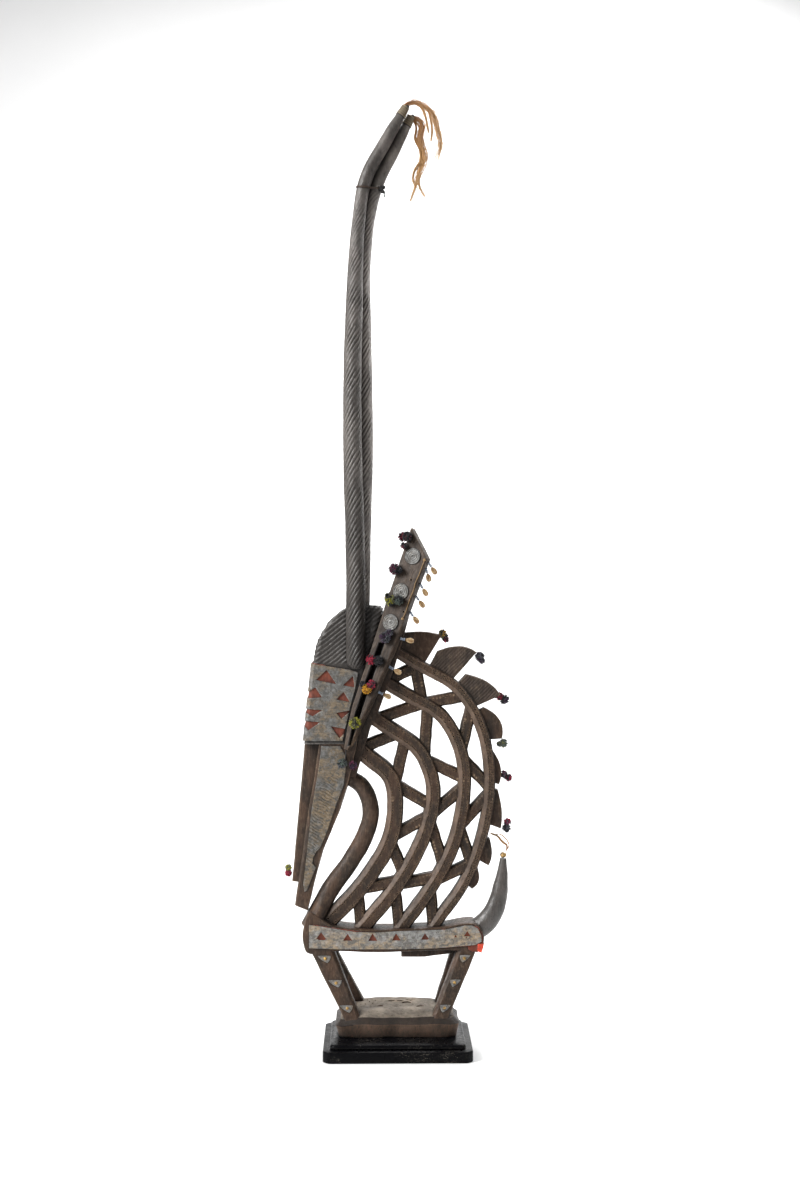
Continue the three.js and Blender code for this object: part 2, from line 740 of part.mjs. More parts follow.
// Wool pompons: where each sits on an ear, across and as a share of its length
const earPompons = [[-4, 0.953], [-4, 0.808], [6, 0.68], [14, 0.526], [5, 0.41], [10, 0.285], [14, 0.131]];
const farEarPompons = [[-4, 0.953], [6, 0.68], [5, 0.41]];
const cheekPompon = [-78, 374];
const muzzleTie = [-156.6, 209];
const finPomponCount = 6;

// The tie where a pompon touches what carries it, and the way out from there to its middle
function hung(tie, way) {
  return tie.clone().addScaledVector(way.clone().normalize(), clearance + pomponDiameter / 2);
}

function finPomponMiddle(fin) {
  const { tangent, across } = along(outerArc, THREE.MathUtils.lerp(fin.from, fin.to, fin.tie));
  return hung(finEdge(fin, fin.tie), across.clone().addScaledVector(tangent, fin.lean));
}

// Binding cord round both horns, with its knot on the far horn's side
const bindingShares = { near: 0.852, far: 0.868 };

function hornBinding() {
  const half = bindingHeight / 2 / hornCurves.near.getLength();
  const rounds = Object.entries(bindingShares).map(([which, share]) => horn(
    which, share - half, share + half, 1, bindingThickness,
  ));
  const knot = ball(bindingKnot).translate(...knotMiddle().toArray());
  return toGeometry(fused([...rounds, bindingBridge([-half, half]), knot])
    .subtract(hornRoom('near'))
    .subtract(hornRoom('far')));
}

function hornMiddle(which, share) {
  return along(hornCurves[which], share).point.add(new THREE.Vector3(0, hornDepthAt(which, share), 0));
}

function knotMiddle() {
  const { across } = along(hornCurves.far, bindingShares.far);
  const out = hornDiameterAt(bindingShares.far) / 2 + bindingThickness;
  return hornMiddle('far', bindingShares.far).addScaledVector(across, -out);
}

// The straight runs of the binding between the two horns
function bindingBridge(offsets) {
  const rings = offsets.map((offset) => {
    const near = hornMiddle('near', bindingShares.near + offset);
    const far = hornMiddle('far', bindingShares.far + offset);
    const reach = hornDiameterAt(bindingShares.near) / 2 + bindingThickness;
    const gap = far.clone().sub(near).normalize();
    const { tangent } = along(hornCurves.near, bindingShares.near);
    const aside = gap.clone().cross(tangent).normalize();
    return [[near, -1], [far, -1], [far, 1], [near, 1]]
      .map(([p, way]) => p.clone().addScaledVector(aside, way * reach));
  });
  return skin(rings, [[0, 1, 2], [0, 2, 3]]);
}

// Hair tufts bound to the horn tips and the tail
const tuftCurves = {
  near: curveThrough([[10, 1350], [21, 1356], [34, 1355], [49, 1347], [60, 1334], [64, 1312], [64, 1284],
    [58, 1269]]),
  far: curveThrough([[18, 1340], [31, 1334], [38, 1319], [35, 1302], [39, 1281], [35, 1255], [29, 1231],
    [20, 1213]]),
};
const tuftWidths = [[0, 0.5], [0.25, 1], [0.7, 0.8], [1, 0.2]];
const tuftStations = 14;
const tipWrapFrom = 0.982;
const tipWrapTo = 1.004;

function hairTuft(which) {
  const depth = hornDepthAt(which, 1);
  const hair = sweep(tuftCurves[which], steps(0, 1, tuftStations), (share) => {
    const width = hairWidth * graded(tuftWidths, share);
    return roundSection(width, Math.min(width, hairThickness), thinSides);
  }, () => depth);
  const wrap = horn(which, tipWrapFrom, tipWrapTo, 2, clearance + tipWrapThickness);
  return toGeometry(fused([hair, wrap]).subtract(hornRoom(which)));
}

const tailTuftCurve = curveThrough([[165, 236], [164, 243], [158, 251], [151, 259], [143, 263]]);

function tailTuft() {
  const { point } = along(tailCurve, 1);
  const middle = point.clone().add(new THREE.Vector3(3, 0, clearance + tailBallDiameter / 2));
  const strand = sweep(tailTuftCurve, steps(0, 1, 5), (share) => roundSection(
    hairWidth * 0.6 * (1.1 - share), hairThickness * (1.1 - share), thinSides,
  ));
  return toGeometry(fused([ball(tailBallDiameter).translate(middle.x, middle.y, middle.z), strand]));
}

// The object

const headdress = new THREE.Group();

function add(name, geometry, look, middle) {
  const mesh = new THREE.Mesh(geometry, new THREE.MeshStandardMaterial(look));
  mesh.name = name;
  if (middle) {
    mesh.position.copy(middle);
  }
  headdress.add(mesh);
  return mesh;
}

add('plinth', plinth(), finishes.blackPaint);
add('antelope', carving(), finishes.wood);
add('head_band', headBand(), finishes.metal);
add('head_cloth', headCloth(), finishes.cloth);

for (const [name, side] of [['near', -1], ['far', 1]]) {
  add(`face_sheet_${name}`, faceSheet(side), finishes.metal);
  add(`body_strip_${name}`, bodyStrip(side), finishes.metal);
  add(`body_cloth_${name}`, bodyCloth(side), finishes.cloth);
  add(`ear_cord_${name}`, earCord(side), finishes.cord);
  discShares.forEach((share, i) => {
    const middle = onEar(side, discAcross, share, clearance);
    const mesh = add(`ear_disc_${name}_${i + 1}`, disc(), finishes.metal, middle);
    mesh.quaternion.setFromUnitVectors(new THREE.Vector3(0, 1, 0), earOutward(side));
  });
  const spots = side < 0 ? earPompons : farEarPompons;
  spots.forEach(([across, share], i) => {
    const middle = hung(onEar(side, across, share, 0), earOutward(side));
    add(`ear_pompon_${name}_${i + 1}`, ball(pomponDiameter), finishes.wool, middle);
  });
}

for (const [name, leg] of Object.entries(legs)) {
  const width = legPlateWidths[name.split('_')[0]];
  legPlateHeights.forEach((z, i) => {
    add(`leg_plate_${name}_${i + 1}`, legPlate(leg, width, z), finishes.metal);
  });
}

cowrieShares.forEach((share, i) => add(`cowrie_${i + 1}`, cowrie(-1, share), finishes.shell));

fins.slice(0, finPomponCount).forEach((fin, i) => {
  add(`fin_pompon_${i + 1}`, ball(pomponDiameter), finishes.wool, finPomponMiddle(fin));
});
add('cheek_pompon', ball(pomponDiameter), finishes.wool,
  hung(place(...cheekPompon, -(headThickness / 2 + sheetThickness)), new THREE.Vector3(0, -1, 0)));
add('muzzle_pompon', ball(pomponDiameter), finishes.wool,
  hung(place(...muzzleTie), new THREE.Vector3(-1, 0, 0)));

add('horn_binding', hornBinding(), finishes.darkCord);
add('horn_tuft_near', hairTuft('near'), finishes.hair);
add('horn_tuft_far', hairTuft('far'), finishes.hair);
add('tail_tuft', tailTuft(), finishes.hair);

export default headdress;
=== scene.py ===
import math

import bmesh
import bpy
from mathutils import Matrix, Vector, noise


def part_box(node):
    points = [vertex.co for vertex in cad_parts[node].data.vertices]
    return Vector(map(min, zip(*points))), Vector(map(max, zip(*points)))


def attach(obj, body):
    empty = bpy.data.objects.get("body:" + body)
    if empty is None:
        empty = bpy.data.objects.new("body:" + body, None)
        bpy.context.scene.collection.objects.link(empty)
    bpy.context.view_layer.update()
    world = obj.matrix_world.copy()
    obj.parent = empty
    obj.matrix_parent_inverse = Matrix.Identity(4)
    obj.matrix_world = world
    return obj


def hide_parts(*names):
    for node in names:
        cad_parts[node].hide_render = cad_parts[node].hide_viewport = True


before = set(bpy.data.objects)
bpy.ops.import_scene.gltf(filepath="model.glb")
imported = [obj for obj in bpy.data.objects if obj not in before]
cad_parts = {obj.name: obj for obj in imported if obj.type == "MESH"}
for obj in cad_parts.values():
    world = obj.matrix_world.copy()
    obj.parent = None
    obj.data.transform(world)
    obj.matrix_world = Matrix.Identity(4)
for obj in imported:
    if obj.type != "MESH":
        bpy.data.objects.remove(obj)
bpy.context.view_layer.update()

bl_info = {
    "name": "Antelope headdress",
    "version": (1, 0, 0),
    "blender": (4, 5, 0),
    "location": "3D View > Sidebar > Headdress",
    "description": "Builds the finished pieces of a carved antelope headdress round its solid frame",
    "category": "Object",
}

MM = 0.001

# The carving's middle plane and the top of its base block, worked out from the frame
PLINTH_LOW, PLINTH_HIGH = (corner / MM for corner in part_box("plinth"))
CARVING_LOW, CARVING_HIGH = (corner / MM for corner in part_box("antelope"))
MIDDLE = (CARVING_LOW.y + CARVING_HIGH.y) / 2
CLEARANCE = 0.3
BLOCK_HEIGHT = 33
BLOCK_FOOT = PLINTH_HIGH.z + CLEARANCE
BASE = BLOCK_FOOT + BLOCK_HEIGHT

NEAR, FAR = -1, 1
SIDES = {"near": NEAR, "far": FAR}


def place(x, z, y=0.0):
    """A point of the drawing: x to the right, z above the base block, y from the middle plane"""
    return Vector((x, y + MIDDLE, BASE + z))


# Colours


def linear(hex_colour):
    """An sRGB hex colour as the linear values that Blender works in"""
    shares = [int(hex_colour[i:i + 2], 16) / 255 for i in (1, 3, 5)]
    return [v / 12.92 if v <= 0.04045 else ((v + 0.055) / 1.055) ** 2.4 for v in shares]


def colour(name, description, hex_colour):
    return bpy.props.FloatVectorProperty(
        name=name, description=description, default=linear(hex_colour), size=3, subtype="COLOR",
        min=0, max=1,
    )


def length(name, description, millimetres):
    return bpy.props.FloatProperty(
        name=name, description=description, default=millimetres * MM, unit="LENGTH", min=0, precision=4,
    )


def count(name, description, default):
    return bpy.props.IntProperty(
        name=name, description=description, default=default, min=1, subtype="UNSIGNED",
    )


class HeaddressSizes(bpy.types.PropertyGroup):
    """Sizes that a maker would change"""
    horn_diameter: length("Horn diameter", "Diameter of each horn below its taper", 25)
    horn_groove_pitch: length("Horn groove pitch", "Distance between the grooves cut round a horn", 5.4)
    horn_groove_depth: length("Horn groove depth", "Depth of the grooves cut round a horn", 1.25)
    dome_groove_pitch: length("Dome groove pitch", "Distance between the grooves cut on the brow", 5.6)
    dome_groove_depth: length("Dome groove depth", "Depth of the grooves cut on the brow", 1.5)
    punch_size: length("Punch size", "Radius of the three-sided punch marks on the mane", 1.95)
    punch_pitch: length("Punch pitch", "Distance between punch marks along a row", 4.9)
    pompon_diameter: length("Pompon diameter", "Diameter of the larger wool pompons", 16)
    yarn_thickness: length("Yarn thickness", "Thickness of one tuft of yarn in a pompon", 1.2)
    yarn_ends: count("Yarn ends", "Number of yarn ends in a pompon", 230)
    hair_thickness: length("Hair thickness", "Thickness of a lock of hair in a tuft", 0.7)
    hair_locks: count("Hair locks", "Number of locks along each guide of a tuft", 34)


class HeaddressColours(bpy.types.PropertyGroup):
    """Colours that a maker would change"""
    # The dark wood tone is also used for painted shade in hollows and between parts
    wood_dark: colour("Dark wood", "Soot-darkened wood in hollows", "#1c1612")
    wood: colour("Wood", "Body of the carving", "#392e26")
    wood_pale: colour("Worn wood", "Wood rubbed bare on the edges", "#86705a")
    horn: colour("Horns", "Blackened wood of the horns and brow", "#55504c")
    horn_pale: colour("Worn horns", "Rubbed ridges of the horns and brow", "#938d87")
    metal_grey: colour("Grey metal", "Dull face of the sheet metal", "#878683")
    metal_ochre: colour("Ochre metal", "Yellowed patches of the sheet metal", "#8c7044")
    # The dark metal tone is also used for painted shade in the sheet's hollows
    metal_dark: colour("Dark metal", "Dirt and tarnish on the sheet metal", "#38322a")
    cloth: colour("Red cloth", "Trade cloth behind the sheet metal", "#5f2b1a")
    paint: colour("Black paint", "Satin paint of the plinth", "#08080a")
    shell: colour("Shell", "Cowrie shell", "#a58b64")
    bead: colour("Beads", "Glass beads on the shell strings", "#66707e")
    cord: colour("Gold cord", "Twisted cord on the ears", "#7c6240")
    dark_cord: colour("Dark cord", "Cord that binds the horns", "#3a2c22")
    hair: colour("Hair", "Hair near its binding", "#a26d38")
    hair_pale: colour("Hair ends", "Hair at its tips", "#cda46e")


# Meshes


def added(name, data):
    """A new object in the scene"""
    made = bpy.data.objects.new(name, data)
    bpy.context.scene.collection.objects.link(made)
    return made


def finished(name, bm, paint):
    """An object from a bmesh in millimetres, its faces turned outwards"""
    bmesh.ops.recalc_face_normals(bm, faces=bm.faces)
    bm.transform(Matrix.Scale(MM, 4))
    mesh = bpy.data.meshes.new(name)
    bm.to_mesh(mesh)
    bm.free()
    mesh.materials.append(paint)
    return added(name, mesh)


def smoothed(made, degrees=38):
    """Rounds shaded smooth and edges sharper than the angle left crisp"""
    made.data.polygons.foreach_set("use_smooth", [True] * len(made.data.polygons))
    made.data.set_sharp_from_angle(angle=math.radians(degrees))
    return made


def piece(made, slot, *nodes):
    """Hands a finished piece to the frame: it rides the headdress and stands for the named nodes"""
    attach(made, "root")
    if nodes:
        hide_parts(*nodes)
    return made


def skin(bm, rings):
    """Faces between rings of equal count, with both ends closed"""
    made = [[bm.verts.new(p) for p in ring] for ring in rings]
    size = len(made[0])
    for low, high in zip(made, made[1:]):
        for i in range(size):
            j = (i + 1) % size
            bm.faces.new((low[i], low[j], high[j], high[i]))
    bm.faces.new(made[0][::-1])
    bm.faces.new(made[-1])
    return bm


def skinned(name, rings, paint):
    return finished(name, skin(bmesh.new(), rings), paint)


def joined(name, objects, operation, cutters=(), solver="MANIFOLD"):
    """One solid from several, by a boolean of closed meshes"""
    first, *rest = objects
    others = list(cutters) if operation == "DIFFERENCE" else rest
    group = bpy.data.collections.new(name)
    for other in others:
        group.objects.link(other)
    step = first.modifiers.new(operation, "BOOLEAN")
    step.operation = operation
    step.operand_type = "COLLECTION"
    step.collection = group
    step.solver = solver
    step.material_mode = "TRANSFER"
    return settled(name, first, others)


def settled(name, made, used=()):
    """The object's evaluated shape as a plain mesh, with its modifiers and helpers gone"""
    graph = bpy.context.evaluated_depsgraph_get()
    graph.update()
    mesh = bpy.data.meshes.new_from_object(made.evaluated_get(graph), depsgraph=graph)
    mesh.name = name
    result = added(name, mesh)
    for old in (made, *used):
        bpy.data.objects.remove(old)
    return result


def steps(low, high, number):
    return [low + (high - low) * i / number for i in range(number + 1)]


def blend(low, high, share):
    return low + (high - low) * share


def graded(table, share):
    """A value read from a short table of shares and values"""
    share = min(max(share, table[0][0]), table[-1][0])
    for (s0, v0), (s1, v1) in zip(table, table[1:]):
        if share <= s1:
            return blend(v0, v1, (share - s0) / (s1 - s0))
    return table[-1][1]


def eased(low, high, value):
    """0 below low, 1 above high, smooth between"""
    share = min(max((value - low) / (high - low), 0.0), 1.0)
    return share * share * (3 - 2 * share)


# The hand-cut unevenness comes out the same in every run
noise.seed_set(5)


def wander(point, size, amount, seed=0.0):
    """A gentle shift of a point, for hand-cut unevenness of the given size and amount"""
    return noise.noise_vector(point / size + Vector((seed, 0, 0))) * amount


# Curves, sections and outlines


class Path:
    """A smooth curve through its knots, read by a share of its length; past an end it runs on straight"""

    def __init__(self, knots, closed=False, span_points=16):
        knots = [Vector(k) for k in knots]
        if closed:
            ends = [knots[-1], *knots, knots[0], knots[1]]
        else:
            ends = [2 * knots[0] - knots[1], *knots, 2 * knots[-1] - knots[-2]]
        self.points = []
        for a, b, c, d in zip(ends, ends[1:], ends[2:], ends[3:]):
            self.points += [self.between(a, b, c, d, i / span_points) for i in range(span_points)]
        self.points.append(ends[-2].copy())
        self.lengths = [0.0]
        for p, q in zip(self.points, self.points[1:]):
            self.lengths.append(self.lengths[-1] + (q - p).length)
        self.length = self.lengths[-1]

    @staticmethod
    def between(a, b, c, d, t):
        """A centripetal curve's point between b and c"""
        da, db, dc = (max((q - p).length, 1e-6) ** 0.5 for p, q in ((a, b), (b, c), (c, d)))
        m = ((b - a) / da - (c - a) / (da + db) + (c - b) / db) * db
        n = ((c - b) / db - (d - b) / (db + dc) + (d - c) / dc) * db
        return b + m * t + (3 * (c - b) - 2 * m - n) * t * t + (2 * (b - c) + m + n) * t ** 3

    def at(self, share):
        """The point, the way along and the way across, in the plane of the mane"""
        inside = min(max(share, 0.0), 1.0)
        target = inside * self.length
        i = next((k for k, run in enumerate(self.lengths[1:]) if run >= target), len(self.points) - 2)
        start, end = self.points[i], self.points[i + 1]
        run = self.lengths[i + 1] - self.lengths[i]
        along = (end - start).normalized()
        point = start.lerp(end, (target - self.lengths[i]) / run) + along * (share - inside) * self.length
        return point, along, Vector((-along.z, 0, along.x)).normalized()


def drawn(points):
    return Path([place(x, z) for x, z in points])


def round_section(across, deep, number):
    turns = [2 * math.pi * i / number for i in range(number)]
    return [(math.cos(a) * across / 2, math.sin(a) * deep / 2) for a in turns]


def eased_section(across, deep, ease, corner_points=4, side_gap=0.0):
    """A rectangle with rounded corners, its straight sides cut up where side_gap is given"""
    ease = min(ease, across * 0.49, deep * 0.49)
    corners = [(across / 2 - ease, deep / 2 - ease, 0), (ease - across / 2, deep / 2 - ease, 90),
               (ease - across / 2, ease - deep / 2, 180), (across / 2 - ease, ease - deep / 2, 270)]
    points = []
    for x, y, start in corners:
        for k in range(corner_points):
            angle = math.radians(start + 90 * k / (corner_points - 1))
            points.append((x + ease * math.cos(angle), y + ease * math.sin(angle)))
    return cut_up(points, side_gap, round) if side_gap else points


def softened(section, cut):
    """A section whose corners are each cut back to two points, for worn edges"""
    soft = []
    for i, here in enumerate(section):
        p = Vector(here)
        for other in (Vector(section[i - 1]), Vector(section[(i + 1) % len(section)])):
            run = other - p
            soft.append(tuple(p + run.normalized() * min(cut, run.length / 3)))
    return soft


def sweep(path, shares, section_at, depth_at=lambda share: 0.0, uneven=0.0, seed=0.0):
    """Rings of a section carried along a path"""
    rings = []
    for share in shares:
        point, _, across = path.at(share)
        ring = []
        for x, y in section_at(share):
            p = point + across * x + Vector((0, y + depth_at(share), 0))
            ring.append(p + wander(p, 14, uneven, seed) if uneven else p)
        rings.append(ring)
    return rings


def area(outline):
    return sum(p[0] * q[1] - q[0] * p[1] for p, q in zip(outline, outline[1:] + outline[:1])) / 2


def inset(outline, distance):
    """An outline moved inwards"""
    turn = math.copysign(1, area(outline))
    moved = []
    for i, here in enumerate(outline):
        p = Vector(here)
        into = (p - Vector(outline[i - 1])).normalized()
        out = (Vector(outline[(i + 1) % len(outline)]) - p).normalized()
        normal = Vector((-into.y - out.y, into.x + out.x)).normalized()
        lean = max(0.5, normal.dot(Vector((-into.y, into.x))))
        moved.append(tuple(p + normal * turn * distance / lean))
    return moved


def cut_up(outline, gap, whole=math.ceil):
    """The same outline with points a gap apart at most, or about a gap where whole is round"""
    fine = []
    for (x0, y0), (x1, y1) in zip(outline, outline[1:] + outline[:1]):
        number = max(1, whole(math.hypot(x1 - x0, y1 - y0) / gap))
        fine += [(blend(x0, x1, k / number), blend(y0, y1, k / number)) for k in range(number)]
    return fine


def board(outline, thickness, ease=3.0, uneven=0.5, gap=7.0, middle=0.0):
    """Rings of a board cut to an outline of the drawing, its edges worn round"""
    outline = cut_up(outline, gap)
    half = thickness / 2
    layers = [(-half, ease), (-half + ease * 0.3, ease * 0.3), (-half + ease, 0),
              (half - ease, 0), (half - ease * 0.3, ease * 0.3), (half, ease)]
    rings = []
    for y, cut in layers:
        ring = [place(x, z, y + middle) for x, z in inset(outline, cut)]
        rings.append([p + wander(p, 22, uneven) for p in ring])
    return rings


# Materials

# The kinds of node that are used over and over, each with its settings
RANGE = ("ShaderNodeMapRange", {"interpolation_type": "SMOOTHSTEP"})
MIX = ("ShaderNodeMix", {"data_type": "RGBA"})
TIMES, PLUS, MINUS, POWER, COSINE, SINE, ABOVE, BELOW = (
    ("ShaderNodeMath", {"operation": operation})
    for operation in ("MULTIPLY", "ADD", "SUBTRACT", "POWER", "COSINE", "SINE", "GREATER_THAN", "LESS_THAN"))
SCALED, SUMMED, APART = (
    ("ShaderNodeVectorMath", {"operation": operation}) for operation in ("SCALE", "ADD", "SUBTRACT"))
# HOLLOWS finds hollows and gaps between parts; the materials use it to paint shade there
EDGES, HOLLOWS = (
    ("ShaderNodeAmbientOcclusion", {"inside": inside, "samples": 6}) for inside in (True, False))
RANDOM, RANDOM_WAY = (
    ("FunctionNodeRandomValue", {"data_type": kind}) for kind in ("FLOAT", "FLOAT_VECTOR"))
NOISE_4D = ("ShaderNodeTexNoise", {"noise_dimensions": "4D"})
DIRT = (0.004, 0.004, 0.005)
# The distance from one band of a wave pattern to the next, as a share of the pattern's size
WAVE_PERIOD = 0.314


def opaque(values):
    return (*values[:3], 1.0)


def shade(tone, share):
    """A tone made darker or lighter"""
    return [min(1.0, value * share) for value in tone]


def output_of(value):
    """The first open output of a node, and anything else as it is"""
    if isinstance(value, bpy.types.Node):
        return next(socket for socket in value.outputs if socket.enabled)
    return value


def node(tree, kind, settings=None, *values, **inputs):
    """Adds a node with its settings, and sets or links its open inputs in their order or by name"""
    made = tree.nodes.new(kind)
    for key, value in (settings or {}).items():
        setattr(made, key, value)
    sockets = [socket for socket in made.inputs if socket.enabled]
    named = {socket.name: socket for socket in reversed(sockets)}
    given = [*zip(sockets, values), *((named[key.replace("_", " ")], value) for key, value in inputs.items())]
    for socket, value in given:
        value = output_of(value)
        if isinstance(value, bpy.types.NodeSocket):
            tree.links.new(value, socket)
        else:
            socket.default_value = opaque(value) if socket.type == "RGBA" else value
    return made


def material(name, roughness, metallic=0.0, **settings):
    """A named material with its shader's plain values set, and its node tree"""
    made = bpy.data.materials.new(name)
    made.use_nodes = True
    tree = made.node_tree
    for key, value in {"Roughness": roughness, "Metallic": metallic, **settings}.items():
        tree.nodes["Principled BSDF"].inputs[key.replace("_", " ")].default_value = value
    return made, tree


def dressed(made, base, height=None, depth_mm=0.0, strength=1.0, roughness=None):
    """Gives a material its colour, and where they are given its relief and its uneven roughness"""
    tree = made.node_tree
    ends = {"Base Color": base, "Roughness": roughness}
    if height:
        ends["Normal"] = node(tree, "ShaderNodeBump", Height=height, Distance=depth_mm * MM,
                              Strength=strength)
    for name, source in ends.items():
        if source:
            tree.links.new(output_of(source), tree.nodes["Principled BSDF"].inputs[name])
    return made


def pattern(tree, size_mm, stretch=(1, 1, 1), detail=3.0, kind="ShaderNodeTexNoise", lean=0.0, **inputs):
    """A pattern on the object's own coordinates, its grain a size in millimetres along each axis"""
    mapped = node(tree, "ShaderNodeMapping", {"vector_type": "TEXTURE"},
                  Vector=node(tree, "ShaderNodeTexCoord").outputs["Object"],
                  Rotation=(0.0, math.radians(lean), 0.0), Scale=[size_mm * MM * share for share in stretch])
    if kind == "ShaderNodeTexNoise":
        inputs["Detail"] = detail
    return node(tree, kind, Vector=mapped, Scale=1.0, **inputs)


def coat(tree, base, tone, value, low, high, most=1.0, least=0.0):
    """A tone over a base: its share goes from least to most as the value goes from low to high"""
    return node(tree, *MIX, node(tree, *RANGE, value, low, high, least, most), base, tone)


def carved_wood(name, dark, body, pale, roughness=0.55, wear=0.8, grain=1.0, lean=0.0, gloss=0.25, ridge=0.45,
                soot_and_shade=1.0, hatch=0.0, darker_foot=None, warmth=0.0):
    """Hardwood cut with an adze and a knife: long grain up the block, soot and painted shade in hollows, pale
    rubbed edges
    """
    made, tree = material(name, roughness, Specular_IOR_Level=gloss)
    streaks = pattern(tree, 1.2, (1, 1, 24), 5.0, lean=lean, Roughness=0.65)
    clouds = pattern(tree, 30, (1, 1, 1.6), 3.0)
    flecks = pattern(tree, 4.5, (1, 1, 1.8), 5.0, lean=lean, Roughness=0.65)
    light = [tone * (1.3 + warmth * turn) for tone, turn in zip(body, (1.0, -0.2, -1.0))]
    base = coat(tree, shade(body, 0.66), light, clouds, 0.36, 0.66)
    for tone, value, low, high, share in (
            (pale, flecks, 0.5, 0.74, 0.22), (dark, flecks, 0.47, 0.28, 0.55),
            (pale, streaks, 0.5, 0.78, 0.35 * grain), (dark, streaks, 0.5, 0.26, 0.6 * grain)):
        base = coat(tree, base, tone, value, low, high, share)
    # Paler on convex edges and ridges: rubbed wear, and where the ridge setting is high, as on the horns and
    # brow, also a painted highlight along the ridges
    edges = node(tree, *RANGE, node(tree, *EDGES, Distance=2.4 * MM).outputs["AO"], 0.95, ridge, 0.0, wear)
    rubbed = node(tree, *TIMES, edges, node(tree, *RANGE, flecks, 0.34, 0.6, 0.3, 1.0))
    base = node(tree, *MIX, rubbed, base, pale)
    # Darker towards the foot: between the two given heights the colour shades off into a darker tone
    if darker_foot:
        foot, clear, share = darker_foot
        coordinates = node(tree, "ShaderNodeTexCoord").outputs["Object"]
        height = node(tree, "ShaderNodeSeparateXYZ", None, coordinates).outputs["Z"]
        base = coat(tree, base, shade(dark, 0.5), height, foot * MM, clear * MM, 0.0, share)
    # Painted shade, with soot: the colour darkens in hollows and in gaps between parts, within 20 mm and
    # within 2.5 mm, where less light reaches
    for reach, low, high, share in ((20, 0.25, 0.9, 0.5), (2.5, 0.45, 0.93, 0.4)):
        openness = node(tree, *HOLLOWS, Distance=reach * MM).outputs["AO"]
        base = coat(tree, shade(dark, share), base, openness, low, high, 1.0, 1 - soot_and_shade)
    height = node(tree, *PLUS, node(tree, *TIMES, streaks, 0.4), node(tree, *TIMES, flecks, 1.2))
    if hatch:
        lines = pattern(tree, hatch / WAVE_PERIOD, kind="ShaderNodeTexWave", lean=45, Distortion=1.5)
        height = node(tree, *PLUS, height, node(tree, *TIMES, lines, 0.8))
    sheen = node(tree, *RANGE, flecks, 0.25, 0.75, roughness + 0.14, roughness - 0.14)
    return dressed(made, base, height, 0.9, 0.8, sheen)


def sheet_metal(name, grey, ochre, dark, ochre_share):
    """Thin sheet metal, hammered flat and left to dull: grey bloom, yellow patches, specks and creases, and
    painted shade in its hollows
    """
    made, tree = material(name, 0.48, 0.4)
    clouds = pattern(tree, 30, (1, 1, 0.8), 5.0, Roughness=0.65)
    bloom = pattern(tree, 7, detail=6.0, Roughness=0.75)
    grit = pattern(tree, 5.5, detail=4.0, Roughness=0.7)
    creases = pattern(tree, 3.2, (4, 4, 1), 4.0, Roughness=0.6)
    level = 0.64 - 0.26 * ochre_share
    base = coat(tree, shade(grey, 0.5), shade(grey, 1.4), bloom, 0.4, 0.6)
    warm = coat(tree, shade(ochre, 0.6), shade(ochre, 1.35), creases, 0.4, 0.62)
    edges = node(tree, *EDGES, Distance=1.8 * MM).outputs["AO"]
    for tone, value, low, high, share in (
            (warm, clouds, level - 0.03, level + 0.16, 0.92), (shade(grey, 1.7), creases, 0.55, 0.72, 0.5),
            (dark, creases, 0.42, 0.3, 0.6), (dark, grit, 0.52, 0.58, 0.95),
            (shade(grey, 2.3), grit, 0.43, 0.34, 0.6), (shade(grey, 1.6), edges, 0.95, 0.55, 0.35)):
        base = coat(tree, base, tone, value, low, high, share)
    # Painted shade: darker in the sheet's creases and dents and where it meets what lies under it, where less
    # light reaches
    openness = node(tree, *HOLLOWS, Distance=1.5 * MM).outputs["AO"]
    base = coat(tree, shade(dark, 0.4), base, openness, 0.3, 0.85)
    height = node(tree, *PLUS, node(tree, *TIMES, bloom, 1.6), creases)
    return dressed(made, base, height, 0.8, 0.8, node(tree, *RANGE, grit, 0.3, 0.7, 0.35, 0.7))


def woven_cloth(name, tone, thread_mm=2.07):
    """Plain-woven cotton, drawn with threads about four times the real 0.5 mm so that they show"""
    made, tree = material(name, 0.95, Sheen_Weight=0.25)
    across = pattern(tree, thread_mm / WAVE_PERIOD, kind="ShaderNodeTexWave", Distortion=0.4)
    base = coat(tree, shade(tone, 0.6), shade(tone, 1.35), pattern(tree, 9), 0.3, 0.7)
    base = coat(tree, base, shade(tone, 0.4), across, 0.2, 0.8, 0.0, 0.3)
    return dressed(made, base, across, 0.3, 0.6)


def satin_paint(name, tone):
    """Satin black paint on wood: even and smooth, scuffed grey along its edges"""
    made, tree = material(name, 0.38, Specular_IOR_Level=0.06)
    scuffs = node(tree, *RANGE, pattern(tree, 2.4, detail=6.0, Roughness=0.7), 0.54, 0.66)
    zones = node(tree, *RANGE, pattern(tree, 34, detail=2.0), 0.5, 0.62, 0.0, 0.3)
    edges = node(tree, *RANGE, node(tree, *EDGES, Distance=3 * MM).outputs["AO"], 0.92, 0.5)
    base = node(tree, *MIX, node(tree, *TIMES, scuffs, zones), tone, linear("#8d877c"))
    rubbed = node(tree, *TIMES, edges, node(tree, *RANGE, scuffs, 0.0, 1.0, 0.02, 0.22))
    base = node(tree, *MIX, rubbed, base, linear("#8a8680"))
    sheen = node(tree, *RANGE, pattern(tree, 7), 0.3, 0.7, 0.24, 0.4)
    return dressed(made, base, pattern(tree, 1.2, (6, 1, 1), 2.0), 0.08, 0.5, sheen)


def tinted_fibre(name, attribute, roughness=0.95, sheen=0.1):
    """Wool or hair whose colour the mesh carries, with dirt between its ends"""
    made, tree = material(name, roughness, Sheen_Weight=sheen)
    tint = node(tree, "ShaderNodeAttribute", {"attribute_name": attribute}).outputs["Color"]
    flecks = pattern(tree, 0.8, detail=2.0)
    return dressed(made, coat(tree, tint, DIRT, flecks, 0.3, 0.6, 0.0, 0.45), flecks, 0.3, 0.5)


